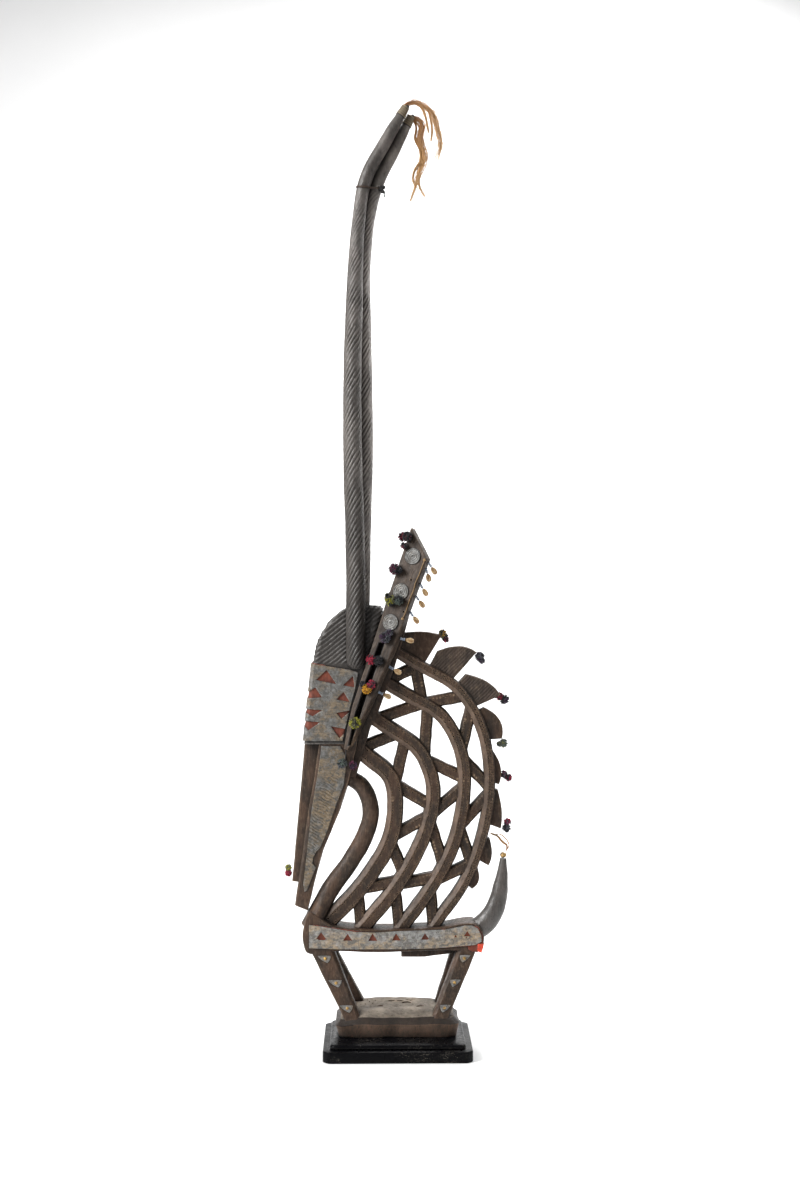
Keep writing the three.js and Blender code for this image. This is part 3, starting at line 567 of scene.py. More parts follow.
def polished_shell(name, tone):
    """Cowrie shell: glossy and cream, browner along the back"""
    made, tree = material(name, 0.22, Coat_Weight=0.4)
    base = coat(tree, tone, linear("#7d5b36"), pattern(tree, 5), 0.35, 0.7)
    # Painted shade: darker brown in the slit and where the shell meets its beads, where less light reaches
    openness = node(tree, *HOLLOWS, Distance=3 * MM).outputs["AO"]
    base = coat(tree, linear("#6b4a30"), base, openness, 0.2, 0.8)
    return dressed(made, base, pattern(tree, 1.0, detail=2.0), 0.05, 0.4)


def glass_bead(name, tone):
    """Old opaque glass, glossy with a dusty bloom"""
    made, tree = material(name, 0.3)
    bloom = pattern(tree, 1.6, detail=4.0)
    base = coat(tree, tone, shade(tone, 1.7), bloom, 0.35, 0.7)
    return dressed(made, base, roughness=node(tree, *RANGE, bloom, 0.3, 0.7, 0.2, 0.5))


def twisted_cord(name, tone):
    """Twisted plant fibre: dull, with paler high strands and painted shade in the valleys between them"""
    made, tree = material(name, 0.8)
    fibres = pattern(tree, 0.5, (1, 1, 4))
    base = coat(tree, shade(tone, 0.6), shade(tone, 1.4), fibres, 0.3, 0.7)
    # Painted shade: the valleys between the strands darkened, where less light reaches
    openness = node(tree, *HOLLOWS, Distance=1.2 * MM).outputs["AO"]
    base = coat(tree, shade(tone, 0.25), base, openness, 0.3, 0.8)
    return dressed(made, base, fibres, 0.2, 0.6)


def pale_floor(name):
    """Seamless studio paper: matt and near white"""
    made, tree = material(name, 0.85)
    clouds = pattern(tree, 400, detail=2.0)
    return dressed(made, node(tree, *MIX, clouds, linear("#dedede"), linear("#e2e2e2")))


def finishes():
    """Every material of the headdress, made once"""
    tones = bpy.context.scene.headdress_colours
    dark, wood, pale = tones.wood_dark, tones.wood, tones.wood_pale
    grey, ochre, soot_and_shade = tones.metal_grey, tones.metal_ochre, tones.metal_dark
    ear_lean = math.degrees(math.atan2(EAR_AXIS.x, EAR_AXIS.z))
    horn, worn = tones.horn, tones.horn_pale
    return {
        "carved": carved_wood("Oiled hardwood, adzed", dark, shade(wood, 0.93), pale, grain=0.8, warmth=0.2),
        "mane": carved_wood("Oiled hardwood, knife-cut", dark, shade(wood, 0.72), pale, 0.6, grain=0.5,
                            warmth=0.25),
        # Painted highlight with wear: a lighter copy of the wood for the arcs' inner bevels, which face the
        # light
        "bevel": carved_wood("Oiled hardwood, rubbed bevels with painted highlight", dark, shade(wood, 2.1), pale, 0.5, grain=0.4,
                             soot_and_shade=0.7),
        "pit": carved_wood("Hardwood, fresh in the punch marks", dark, shade(pale, 0.75), shade(pale, 1.3),
                           soot_and_shade=0.85),
        "fin": carved_wood("Oiled hardwood, hatched", dark, wood, pale, 0.6, grain=0.5, hatch=4.0),
        "ear": carved_wood("Oiled hardwood, planed", dark, shade(wood, 0.85), shade(pale, 0.65),
                           lean=ear_lean),
        # Painted light and shade: the two horns are one wood, in a darker copy for the near horn and a
        # lighter copy for the far horn, which stands for the light the far horn catches from the right
        "horn": carved_wood("Blackened hardwood, grooved", shade(dark, 0.8), shade(horn, 0.74),
                            shade(worn, 0.74), 0.42, 0.9, 0.4, gloss=0.3, ridge=0.7, soot_and_shade=0.85,
                            darker_foot=(570, 960, 0.6)),
        "far_horn": carved_wood("Blackened hardwood, grooved, painted paler for its light", shade(dark, 0.9),
                                shade(horn, 1.5), shade(worn, 1.1), 0.38, 0.9, 0.4, gloss=0.4, ridge=0.7,
                                soot_and_shade=0.6),
        # Painted shade: the brow is the horns' wood much darkened, against the light that falls on its
        # upturned face
        "brow": carved_wood("Blackened hardwood, brow", shade(dark, 0.7), shade(horn, 0.32), shade(worn, 0.5),
                            0.4, 0.9, 0.3, gloss=0.35, ridge=0.75),
        "polished": carved_wood("Blackened hardwood, handled smooth", shade(dark, 0.8), shade(horn, 0.6),
                                worn, 0.34, 0.5, 0.6, gloss=0.5),
        "block": carved_wood("Worn hardwood base", linear("#2c2b26"), shade(wood, 1.9), linear("#8a5f4a"),
                             0.62, 0.9, 0.8),
        "block_top": carved_wood("Worn hardwood base, dusty", dark, linear("#685f54"), shade(pale, 1.1),
                                 0.7, 0.4, 0.2),
        "charred": carved_wood("Hardwood, charred dark", shade(dark, 0.5), shade(wood, 0.45), wood,
                               0.5, 0.3, 0.5),
        "metal": sheet_metal("Dulled sheet tin", shade(grey, 0.7), ochre, soot_and_shade, 0.78),
        "face_metal": sheet_metal("Yellowed sheet tin", shade(grey, 0.36), shade(ochre, 0.62), soot_and_shade, 0.9),
        "band_metal": sheet_metal("Darkened sheet tin", shade(grey, 0.4), shade(ochre, 0.58), soot_and_shade, 0.74),
        "disc_metal": sheet_metal("Tarnished stamped tin", shade(grey, 0.45), shade(ochre, 0.5), soot_and_shade, 0.4),
        "plate": sheet_metal("Rubbed sheet tin", shade(grey, 0.55), shade(ochre, 0.7), soot_and_shade, 0.7),
        "boss": sheet_metal("Rubbed sheet brass", shade(ochre, 1.2), linear("#c9a04a"), soot_and_shade, 0.7),
        "cloth": woven_cloth("Red trade cotton, darkened", tones.cloth),
        "scrap": woven_cloth("Red trade cotton, bright", linear("#b53a22")),
        "paint": satin_paint("Satin black paint on wood", tones.paint),
        "yarn": tinted_fibre("Wool yarn, cut ends", "yarn"),
        "hair": tinted_fibre("Animal hair, tied", "hair", 0.6, 0.2),
        "shell": polished_shell("Cowrie shell", tones.shell),
        "bead": glass_bead("Opaque glass bead", tones.bead),
        "cord": twisted_cord("Gilt twisted cord", tones.cord),
        "dark_cord": twisted_cord("Dark twisted cord", tones.dark_cord),
        "pale_cord": twisted_cord("Grey-cream twisted cord", linear("#8f7f66")),
        "black_cord": twisted_cord("Black cord, tarred", linear("#1b1a1a")),
    }


FINISHES = {}


# The carving: head, horns and ears

SKULL = [
    (-139, 402, -60, 402, 45), (-136, 436, -56, 436, 46.5), (-132, 471, -52, 471, 47),
    (-126, 523, -45, 515, 47), (-124, 540, -40, 530, 44), (-119.5, 557, -34, 548, 41),
    (-112, 571, -29, 566, 38), (-103, 585, -24, 582, 34), (-92, 596, -21, 594, 29),
    (-79, 605, -20, 603, 22), (-63, 611, -24, 608, 12),
]
CHEEKS = [
    (-154, 158, -134, 150, 24), (-149, 192, -124, 193, 28), (-141, 243, -110, 243, 32),
    (-133, 303, -85, 303, 36), (-124, 349, -70, 349, 39), (-117, 400, -60, 400, 44),
    (-114, 424, -58, 424, 45),
]
# The nose's top row stands in the skull; the two below it make the dark slit under the head band
NOSE = [(-137, 405, -106, 405, 18), (-136.5, 401, -107, 401, 17.5), (-139, 399.5, -108, 399.5, 20),
        (-158, 194, -138, 191, 17)]
BROW_FOOT = 520
BROW_SLOPE = 37


def even_rows(rows, gap):
    """Rows between the named ones, straight from one to the next"""
    for low, high in zip(rows, rows[1:]):
        number = max(1, round(math.hypot(high[0] - low[0], high[1] - low[1]) / gap))
        for k in range(number):
            yield tuple(blend(a, b, k / number) for a, b in zip(low, high))
    yield rows[-1]


def rounded_rows(rows):
    """Rows whose corners are cut back once, so that a profile turns gently"""
    soft = [rows[0]]
    for a, b, c in zip(rows, rows[1:], rows[2:]):
        soft.append(tuple(q + (p - q) * 0.25 for p, q in zip(a, b)))
        soft.append(tuple(q + (r - q) * 0.25 for q, r in zip(b, c)))
    soft.append(rows[-1])
    return soft


def grooved_height(p, pitch, depth, slope):
    """How far a groove cuts in at a point, for slanting parallel grooves with narrow ridges"""
    angle = math.radians(slope)
    across = (p.z * math.cos(angle) - p.x * math.sin(angle) + 1.2 * noise.noise(p / 30)) / pitch
    ridge = abs((across % 1.0) - 0.5) * 2
    return depth * ridge ** 0.9


def head_rings(rows, ease, gap, side_gap, uneven, groove=None):
    """Rings of a head part, with slanting grooves on the brow where they are given"""
    rings = []
    for front_x, front_z, back_x, back_z, thick in even_rows(rows, gap):
        front, back = place(front_x, front_z), place(back_x, back_z)
        middle, across = (front + back) / 2, (back - front).normalized()
        wide = (back - front).length
        number = len(rings[0] if rings else eased_section(wide, thick, ease, side_gap=side_gap))
        section = resampled(eased_section(wide, thick, ease, side_gap=1.0), number)
        ring = []
        for x, y in section:
            p = middle + across * x + Vector((0, y, 0))
            out = Vector((across.x * x, y, across.z * x + 0.3 * thick)).normalized()
            if groove and p.z - BASE > BROW_FOOT:
                p -= out * grooved_height(p, *groove) * eased(BROW_FOOT, BROW_FOOT + 6, p.z - BASE)
            ring.append(p + wander(p, 18, uneven))
        rings.append(ring)
    return rings


def resampled(outline, number):
    """A closed outline as a fixed number of evenly spaced points, starting from its first"""
    closed = outline + outline[:1]
    runs = [0.0]
    for (x0, y0), (x1, y1) in zip(closed, closed[1:]):
        runs.append(runs[-1] + math.hypot(x1 - x0, y1 - y0))
    points, k = [], 0
    for i in range(number):
        target = runs[-1] * i / number
        while runs[k + 1] < target:
            k += 1
        share = (target - runs[k]) / max(runs[k + 1] - runs[k], 1e-9)
        points.append((blend(closed[k][0], closed[k + 1][0], share),
                       blend(closed[k][1], closed[k + 1][1], share)))
    return points


HORNS = {
    "near": drawn([(-62, 514), (-62.5, 680), (-67, 880), (-64, 1050), (-57.5, 1179), (-46, 1245),
                   (-16, 1301), (11, 1347)]),
    "far": drawn([(-55, 516), (-52, 700), (-48.5, 850), (-50.5, 1010), (-50, 1126), (-33.5, 1228),
                  (-4.5, 1290), (19.5, 1336)]),
}
HORN_TAPER = [(0, 0.5), (0.005, 0.95), (0.016, 1.18), (0.3, 1.16), (0.62, 1.06), (0.78, 0.8), (0.87, 0.78),
              (0.93, 0.76), (0.965, 0.7), (1, 0.42)]
FAR_HORN_TAPER = [(0, 0.4), (0.005, 0.8), (0.016, 1), (0.62, 1), (0.78, 0.82), (0.87, 0.82), (0.93, 0.78),
                  (0.97, 0.68), (1, 0.42)]
# Apart at their feet, where each horn stands half out of the side of the brow
HORN_APART = [(0, 2.1), (0.07, 1.9), (0.2, 1.2), (0.35, 1), (0.62, 0.95), (0.8, 0.62), (1, 0.6)]
HORN_SPREAD = 20
BINDING = {"near": 0.845, "far": 0.861}
BINDING_TURNS = 2
GROOVE_LEAN = 57
GROOVE_SHAPE = [0, 0.04, 0.35, 1, 0.5, 0.08]


def horn_diameter(which, share):
    taper = HORN_TAPER if which == "near" else FAR_HORN_TAPER
    return bpy.context.scene.headdress_sizes.horn_diameter / MM * graded(taper, share)


def horn_depth(which, share):
    return SIDES[which] * HORN_SPREAD / 2 * graded(HORN_APART, share)


def horn_rings(which):
    """A horn whose mesh twists with the grooves cut round it, smooth above the binding"""
    sizes = bpy.context.scene.headdress_sizes
    path, side = HORNS[which], SIDES[which]
    starts = round(math.pi * horn_diameter(which, 0.1) * math.sin(math.radians(GROOVE_LEAN))
                   / (sizes.horn_groove_pitch / MM))
    columns = starts * len(GROOVE_SHAPE)
    rise = math.pi * horn_diameter(which, 0.1) * math.tan(math.radians(GROOVE_LEAN))
    rings = []
    for share in steps(0, 1, 150):
        point, _, across = path.at(share)
        radius = horn_diameter(which, share) / 2
        twist = -2 * math.pi * share * path.length / rise
        fade = 1 - eased(BINDING[which] - 0.02, BINDING[which], share)
        depth = sizes.horn_groove_depth / MM * fade * (0.7 + 0.3 * math.sin(share * 90))
        ring = []
        for k in range(columns):
            angle = twist + 2 * math.pi * k / columns
            r = radius - depth * GROOVE_SHAPE[k % len(GROOVE_SHAPE)] * radius / 12.5
            p = point + across * math.cos(angle) * r
            p += Vector((0, math.sin(angle) * r + horn_depth(which, share), 0))
            ring.append(p + wander(p, 40, 0.5, side * 3.0))
        rings.append(ring)
    return rings


EAR_ROOT, EAR_TIP = (-72, 393), (34, 708)
EAR_FACE = 27
EAR_FLARE = math.radians(22)
EAR_FRONT = -18
EAR_LENGTH = 344
EAR_WIDTH = 34
EAR_THICKNESS = 18
EAR_AXIS = (place(*EAR_TIP) - place(*EAR_ROOT)).normalized()
EAR_ACROSS = Vector((EAR_AXIS.z, 0, -EAR_AXIS.x))
EAR_FRONT_LINE = [(0, 10), (0.09, 4), (0.19, 1), (0.44, 0), (1, 0)]
EAR_BACK_LINE = [(0, 17), (0.12, 22), (0.29, 29), (0.44, 33), (0.67, 36.5), (0.785, 37), (0.895, 39)]
EAR_HOLES = [(26, 0.786), (31, 0.645)]
EAR_HOLE_WIDTH, EAR_HOLE_DEPTH = 3.2, 6
EAR_SLOT = [(0.023, 16), (0.173, 10), (0.483, 10), (0.493, 17), (0.193, 17), (0.023, 18)]


def on_ear(side, across, share, out=0.0):
    """A point on or off an ear: across from its front edge, a share up it, out from its outer face"""
    wide = EAR_ACROSS * math.cos(EAR_FLARE) + Vector((0, side * math.sin(EAR_FLARE), 0))
    outwards = EAR_ACROSS * -math.sin(EAR_FLARE) + Vector((0, side * math.cos(EAR_FLARE), 0))
    return (place(*EAR_ROOT, side * EAR_FACE) + EAR_ACROSS * EAR_FRONT + wide * across
            + EAR_AXIS * share * EAR_LENGTH + outwards * out)


def ear_outward(side):
    return (on_ear(side, 0, 0, 1) - on_ear(side, 0, 0, 0)).normalized()


def ear_rings(side, outline, inner, outer, ease=0.0, uneven=0.0):
    """Rings of a plank in the plane of an ear; the outline is in shares up and distances across"""
    flat = cut_up([(x, share * EAR_LENGTH) for share, x in outline], 9)
    layers = [(inner, 0), (outer, 0)]
    if ease:
        layers = [(inner, ease), (inner + ease, 0), (outer - ease, 0), (outer - ease * 0.3, ease * 0.3),
                  (outer, ease)]
    rings = []
    for out, cut in layers:
        ring = [on_ear(side, x, up / EAR_LENGTH, out) for x, up in inset(flat, cut)]
        rings.append([p + wander(p, 20, uneven, side * 5.0) for p in ring])
    return rings


def ear(side):
    """One ear, a plank with its slot and its two holes cut through"""
    outline = EAR_FRONT_LINE + EAR_BACK_LINE[::-1]
    plank = skinned("ear", ear_rings(side, outline, -EAR_THICKNESS, 0, 2.2, 0.5), FINISHES["ear"])
    slot = skinned("ear_slot", slot_rings(side), FINISHES["horn"])
    rim = round_section(EAR_HOLE_WIDTH, EAR_HOLE_WIDTH, 12)
    holes = [skinned("hole", [[on_ear(side, across + x, share + y / EAR_LENGTH, out) for x, y in rim]
                              for out in (-EAR_HOLE_DEPTH, 1)], FINISHES["charred"])
             for across, share in EAR_HOLES]
    return joined("ear", [plank], "DIFFERENCE", [slot, *holes])


def slot_rings(side):
    """The slot up the middle of an ear, its outer lips rounded over"""
    flat = cut_up([(x, share * EAR_LENGTH) for share, x in EAR_SLOT], 9)
    layers = [(-1.6 * EAR_THICKNESS, 0), (-3.4, 0), (-1.6, -0.5), (-0.5, -1.4), (0.6, -3.2)]
    return [[on_ear(side, x, up / EAR_LENGTH, out) for x, up in inset(flat, cut)] for out, cut in layers]


# The carving: body, legs and mane

BODY = [(-132, 149), (-141, 123), (-141, 103), (-134, 88), (-90, 91), (-48, 89), (11, 90), (70, 92),
        (112, 92), (129, 102), (128, 120), (116, 132), (104, 133), (70, 127), (20, 124), (-34, 123),
        (-93, 129), (-112, 139)]
BODY_THICKNESS = 50
BELLY_BAR = [(6, 95), (6, 78), (42, 78), (82, 83), (95, 95)]
NECK = [(-74, 351), (-52, 335), (-39.5, 300), (-47, 265), (-70, 223), (-100, 181), (-124, 136)]
NECK_WIDTHS = [(0, 24), (0.5, 27), (0.85, 28), (1, 30)]
NECK_DEPTHS = [(0, 26), (0.72, 27), (0.86, 34), (1, 51)]
TAIL = drawn([(98, 112), (118, 118), (136, 131), (148, 151), (154, 172), (158, 198), (160, 226)])
TAIL_WIDTHS = [(0, 30), (0.25, 33), (0.45, 30), (0.7, 23), (1, 10)]
STRUT = [(-84, 352), (-62, 350), (-40, 425), (-27, 452), (-5, 512), (10, 563), (18, 591), (4, 601),
         (-30, 560), (-60, 460)]
ARCS = [
    drawn([(-46, 383), (-10, 350), (-3, 302), (-12, 253), (-36, 210), (-66, 171), (-101, 136)]),
    drawn([(-16, 427), (32, 392), (54, 337), (46, 278), (22, 223), (-10, 173), (-49, 127)]),
    drawn([(10, 477), (68, 441), (98, 380), (99, 311), (83, 244), (50, 182), (9, 126)]),
    drawn([(25, 523), (91, 483), (129, 417), (139, 340), (128, 263), (101, 191), (57, 128)]),
]
MANE_CENTRE = place(-80, 300)
ARC_WIDTHS = [25, 22.5, 20.5, 17]
ARC_ROOT, ARC_FOOT = 34, 20
ARC_THICKNESS = 28
ARC_INNER_BEVEL, ARC_OUTER_BEVEL, ARC_BEVEL_DEPTH = 6.2, 2.6, 5
BAR_WIDTH, BAR_THICKNESS = 18, 20
LATTICE = [
    [(-0.05, 0.055), (0.225, 0.093), (0.2, 0.42), (0.48, 0.459), (0.492, 0.732), (0.788, 0.764),
     (0.8, 1.02)],
    [(-0.05, 0.078), (0.21, 0.099), (0.218, 0.408), (0.457, 0.437), (0.474, 0.738), (0.782, 0.784),
     (0.8, 1.02)],
    [(-0.08, 0.02), (0.075, 0.004), (0.082, 0.198), (0.31, 0.24), (0.336, 0.512), (0.585, 0.532),
     (0.584, 0.773), (0.798, 0.765), (0.832, 1.01)],
]
FINS = [
    (-0.083, 0.04, 55, 0.5), (0.051, 0.143, 60, 0.5), (0.155, 0.253, 47, 0.5), (0.26, 0.365, 31, 0.8),
    (0.399, 0.503, 18, 0.8), (0.519, 0.637, 25, 0.5), (0.673, 0.756, 24, 0.6), (0.775, 0.842, 19, 0.8),
]
FIN_THICKNESS = 16
HATCHED_FINS = (1, 2)
LEG_TOP, LEG_FLUSH, LEG_FOOT = 110, 88, -10
LEG_THICKNESS, LEG_SPLAY = 22, 20
LEGS = {
    "front_near": (NEAR, -121, -65, 38, 24), "hind_near": (NEAR, 112, 61, 29, 25),
    "front_far": (FAR, -121, -55, 36, 24), "hind_far": (FAR, 103, 67, 29, 25),
}


def leg_face(leg, z):
    """The middle of a leg's outer face at a height: flush with the body, then splayed"""
    side, top, foot, _, _ = leg
    down = (LEG_TOP - z) / (LEG_TOP - LEG_FOOT)
    splayed = max(0, (LEG_FLUSH - z) / (LEG_FLUSH - LEG_FOOT))
    return place(blend(top, foot, down), z, side * (BODY_THICKNESS / 2 + LEG_SPLAY * splayed))


def leg_section(leg, width):
    """A leg's section: small bevels, and a wide one along its inner outward-facing edge"""
    side, top = leg[:2]
    half, thick = width / 2, LEG_THICKNESS / 2
    points = []
    for x, y in ((1, 1), (-1, 1), (-1, -1), (1, -1)):
        wide, deep = (5, 4) if x * top < 0 and y == side else (2, 2)
        corner = [(x * half, y * (thick - deep)), (x * (half - wide), y * thick)]
        points += corner if x * y > 0 else corner[::-1]
    return softened(points, 0.5)


def leg_rings(leg):
    """A leg, tapering from its shoulder or hip to its foot"""
    side, _, _, top_width, foot_width = leg
    rings = []
    for z in steps(LEG_FOOT, LEG_TOP, 24):
        width = blend(foot_width, top_width, (z - LEG_FOOT) / (LEG_TOP - LEG_FOOT))
        middle = leg_face(leg, z) - Vector((0, side * LEG_THICKNESS / 2, 0))
        ring = [middle + Vector((x, y, 0)) for x, y in leg_section(leg, width)]
        rings.append([p + wander(p, 25, 0.7) for p in ring])
    return rings


def body_rings():
    """The body, a thick board with worn edges"""
    path = Path([Vector((x, z, 0)) for x, z in BODY], closed=True, span_points=7)
    outline = [(p.x, p.y) for p in path.points[:-1]]
    return board(outline, BODY_THICKNESS, 3.4, 0.5, 9)


def arc_section(width):
    """An arc's section, with a wide bevel on its inner side and a narrow one on its outer side"""
    w, t, e = width / 2, ARC_THICKNESS / 2, ARC_THICKNESS / 2 - ARC_BEVEL_DEPTH
    corners = [(-w, -e), (ARC_INNER_BEVEL - w, -t), (w - ARC_OUTER_BEVEL, -t), (w, -e),
               (w, e), (w - ARC_OUTER_BEVEL, t), (ARC_INNER_BEVEL - w, t), (-w, e)]
    return softened(corners, 0.45)


def lit_bevelled(made, centre):
    """The same solid with its wide bevels, those that face the centre, in a lighter finish: partly their
    wear, partly a painted highlight for the light they catch
    """
    made.data.materials.append(FINISHES["bevel"])
    for face in made.data.polygons:
        inward = (centre * MM - face.center).dot(face.normal)
        face.material_index = int(0.5 < abs(face.normal.y) < 0.95 and inward > 0)
    return made


def arc_rings(i):
    arc = ARCS[i]
    shares = steps(-ARC_ROOT / arc.length, 1 + ARC_FOOT / arc.length, 84)
    return sweep(arc, shares, lambda share: arc_section(ARC_WIDTHS[i]), uneven=0.55, seed=i * 7.0)


def bar_line(ring, shares):
    """Where a lattice bar starts on its inner arc and ends on its outer arc, and the way across it"""
    start, end = ARCS[ring].at(shares[0])[0], ARCS[ring + 1].at(shares[1])[0]
    run = (end - start).normalized()
    return start, end, Vector((-run.z, 0, run.x))


def bar_rings(ring, shares):
    start, end, wide = bar_line(ring, shares)
    section = softened(eased_section(BAR_WIDTH, BAR_THICKNESS, 3.2, 2), 0.5)
    rings = []
    for share in steps(0, 1, 14):
        ring_points = [start.lerp(end, share) + wide * x + Vector((0, y, 0)) for x, y in section]
        rings.append([p + wander(p, 12, 0.8, 3.0) for p in ring_points])
    return rings


def fin_edge(fin, t):
    """The outer edge of a fin, from its front at 0 to its tip at 1"""
    start, end, reach, rounding = fin
    point, _, across = ARCS[-1].at(blend(start, end, t))
    return point + across * reach * (0.52 + 0.48 * math.sin(math.pi * rounding * t))


def fin_rings(fin):
    start, end = fin[:2]
    edge = [fin_edge(fin, t) for t in steps(0, 1, 12)]
    root = [ARCS[-1].at(share)[0] for share in (end - 0.008, (start + end) / 2, start)]
    outline = [(p.x, p.z - BASE) for p in edge + root]
    return board(outline, FIN_THICKNESS, 2.4, 0.5, 6)


BLOCK_LENGTH, BLOCK_DEPTH = 177, 92
BLOCK_CORNER, BLOCK_POINTS = 12, 200
BLOCK_SIDES = [(1.4, 0), (0.2, 1.2), (0, 3), (-2, 12), (-3.6, 20.5), (-3.7, 22), (-3, 23.2), (0, 27),
               (3, 30.6), (4.2, 31.8), (6, 32.6)]
BLOCK_TOP_CUTS = [8, 10, *range(13, 44, 3), 45.3]
BLOCK_CROWN = 3


def block_fall(p):
    """How far the block's worn top drops towards its ends, least at its front right corner, and how far it
    arches up along its back, where the fall is negative"""
    front = eased(-15, -40, p.y - MIDDLE) if p.x > 0 else 0
    arch = max(0.0, 1 - (p.x / 86) ** 2)
    rise = 5.5 * eased(-10, 42, p.y - MIDDLE) - 2.5 * eased(-20, -44, p.y - MIDDLE)
    return (6.5 - 5 * front) * eased(44, 92, abs(p.x + 2)) ** 1.3 - rise * arch


def block_top(p, cut):
    """The height of the base block's worn top, a cut in from its edge"""
    crown = BLOCK_CROWN * eased(3, 20, cut)
    waves = 2.0 * noise.noise(p / 34) + 1.3 * noise.noise(p / 13) + 0.5 * noise.noise(p / 6)
    return BLOCK_HEIGHT + crown - 0.3 + waves * eased(2, 14, cut)


def block_outline(cut, z):
    """The base block's outline at a height, a cut in from its sides"""
    section = eased_section(BLOCK_LENGTH - 2 * cut, BLOCK_DEPTH - 2 * cut, BLOCK_CORNER)
    return [Vector((x, y + MIDDLE, z)) for x, y in resampled(section, BLOCK_POINTS)]


def block_rings():
    """The base block, its sides and edges worn, and its top crowned and uneven"""
    rings = []
    for cut, z in BLOCK_SIDES:
        worn = 0.2 if z < 1 else 0.9 if z < 24 else 1.5
        ring = [p + Vector((1, 1, 0.0 if z < 1 else 1.0)) * wander(p, 26, worn).x
                for p in block_outline(cut, BLOCK_FOOT + z)]
        rings.append([p - Vector((0, 0, block_fall(p) * eased(12, 30, z))) for p in ring])
    for cut in BLOCK_TOP_CUTS:
        rings.append([Vector((p.x, p.y, BLOCK_FOOT + block_top(p, cut) - block_fall(p)))
                      for p in block_outline(cut, BASE)])
    return rings


GOUGES = [(-2, 30, 30, 0.2), (14, 22, 20, 0.5), (20, 38, 16, -0.3), (-26, 12, 22, 0.15), (34, 8, 18, -0.2)]
NAIL_HOLES = [(-44, 22), (-38, 30), (-33, 24), (-50, 34), (-29, 34), (-41, 38), (-36, 16)]


def block_solid():
    """The base block, with its charred bevel and its dusty top each in its own finish"""
    made = skinned("block", block_rings(), FINISHES["block"])
    made.data.materials.append(FINISHES["charred"])
    made.data.materials.append(FINISHES["block_top"])
    for face in made.data.polygons:
        height = face.center.z / MM - BLOCK_FOOT + block_fall(face.center / MM)
        flat = face.normal.z
        face.material_index = 2 if height > 29 and flat > 0.8 else 1 if height > 22.8 else 0
    return made


def gouge_cutters():
    """Crescent gouge marks and worm holes for the top of the base block"""
    made = []
    for x, y, run, bend in GOUGES:
        knots = [Vector((x + run * (t - 0.5), MIDDLE - 14 + y + bend * run * (0.25 - (t - 0.5) ** 2) * 2,
                         BASE + BLOCK_CROWN + 0.2 + 14 * (t - 0.5) ** 2)) for t in steps(0, 1, 6)]
        rings = []
        for k, p in enumerate(knots):
            ahead = knots[min(k + 1, 6)] - knots[max(k - 1, 0)]
            side = Vector((-ahead.y, ahead.x, 0)).normalized()
            size = 0.5 + 2.6 * math.sin(math.pi * k / 6)
            rings.append([p + side * a + Vector((0, 0, b))
                          for a, b in round_section(size * 2, size * 1.6, 8)])
        made.append(skinned("gouge", rings, FINISHES["block"]))
    for x, y in NAIL_HOLES:
        centre = Vector((x - 4, MIDDLE - 14 + y, BASE))
        rings = [[centre + Vector((a, b, z)) for a, b in round_section(2.4, 2.4, 8)] for z in (-6, 8)]
        made.append(skinned("worm_hole", rings, FINISHES["horn"]))
    return made


# Punch marks

PUNCH_DEPTH, PUNCH_LIFT = 3.2, 0.25


def tree_of(name, inputs):
    """A geometry tree with its named inputs, and the identifier of each"""
    tree = bpy.data.node_groups.new(name, "GeometryNodeTree")
    tree.interface.new_socket(name="Geometry", in_out="INPUT", socket_type="NodeSocketGeometry")
    identifiers = {}
    for label, kind in inputs.items():
        made = tree.interface.new_socket(name=label, in_out="INPUT", socket_type=f"NodeSocket{kind}")
        identifiers[label] = made.identifier
    tree.interface.new_socket(name="Geometry", in_out="OUTPUT", socket_type="NodeSocketGeometry")
    entry = tree.nodes.new("NodeGroupInput")
    return tree, entry.outputs, identifiers


def close_tree(tree, geometry, paint):
    """Ends a tree: instances made real, material set"""
    real = node(tree, "GeometryNodeRealizeInstances", Geometry=geometry)
    painted = node(tree, "GeometryNodeSetMaterial", Geometry=real, Material=paint)
    tree.links.new(painted.outputs[0], tree.nodes.new("NodeGroupOutput").inputs[0])


def grown(name, made, tree, identifiers, values):
    """A plain mesh from a geometry tree run on an object"""
    step = made.modifiers.new(tree.name, "NODES")
    step.node_group = tree
    for label, value in values.items():
        step[identifiers[label]] = value
    return settled(name, made)


def punch_tree():
    """Three-sided punches set along rows, each turned with its row"""
    tree, given, identifiers = tree_of("Punch marks", {
        "Size": "Float", "Depth": "Float", "Pitch": "Float", "Material": "Material"})
    rows = node(tree, "GeometryNodeMeshToCurve", Mesh=given["Geometry"])
    stations = node(tree, "GeometryNodeResampleCurve", {"mode": "LENGTH"}, Curve=rows, Length=given["Pitch"])
    punch = node(tree, "GeometryNodeMeshCone", Vertices=3, Radius_Top=0.0, Radius_Bottom=given["Size"],
                 Depth=given["Depth"])
    turned = node(tree, "FunctionNodeAxesToRotation", {"primary_axis": "Z", "secondary_axis": "X"},
                  Primary_Axis=(0.0, 1.0, 0.0), Secondary_Axis=node(tree, "GeometryNodeInputTangent"))
    varied = node(tree, *RANDOM, 0.8, 1.15, Seed=4)
    set_down = node(tree, "GeometryNodeInstanceOnPoints", Points=stations, Instance=punch, Rotation=turned,
                    Scale=varied)
    close_tree(tree, set_down, given["Material"])
    return tree, identifiers


def row_object(rows):
    """Rows of points as an object of plain edges, in metres"""
    mesh = bpy.data.meshes.new("rows")
    points, edges = [], []
    for row in rows:
        edges += [(len(points) + k, len(points) + k + 1) for k in range(len(row) - 1)]
        points += [p * MM for p in row]
    mesh.from_pydata(points, edges, [])
    return added("rows", mesh)


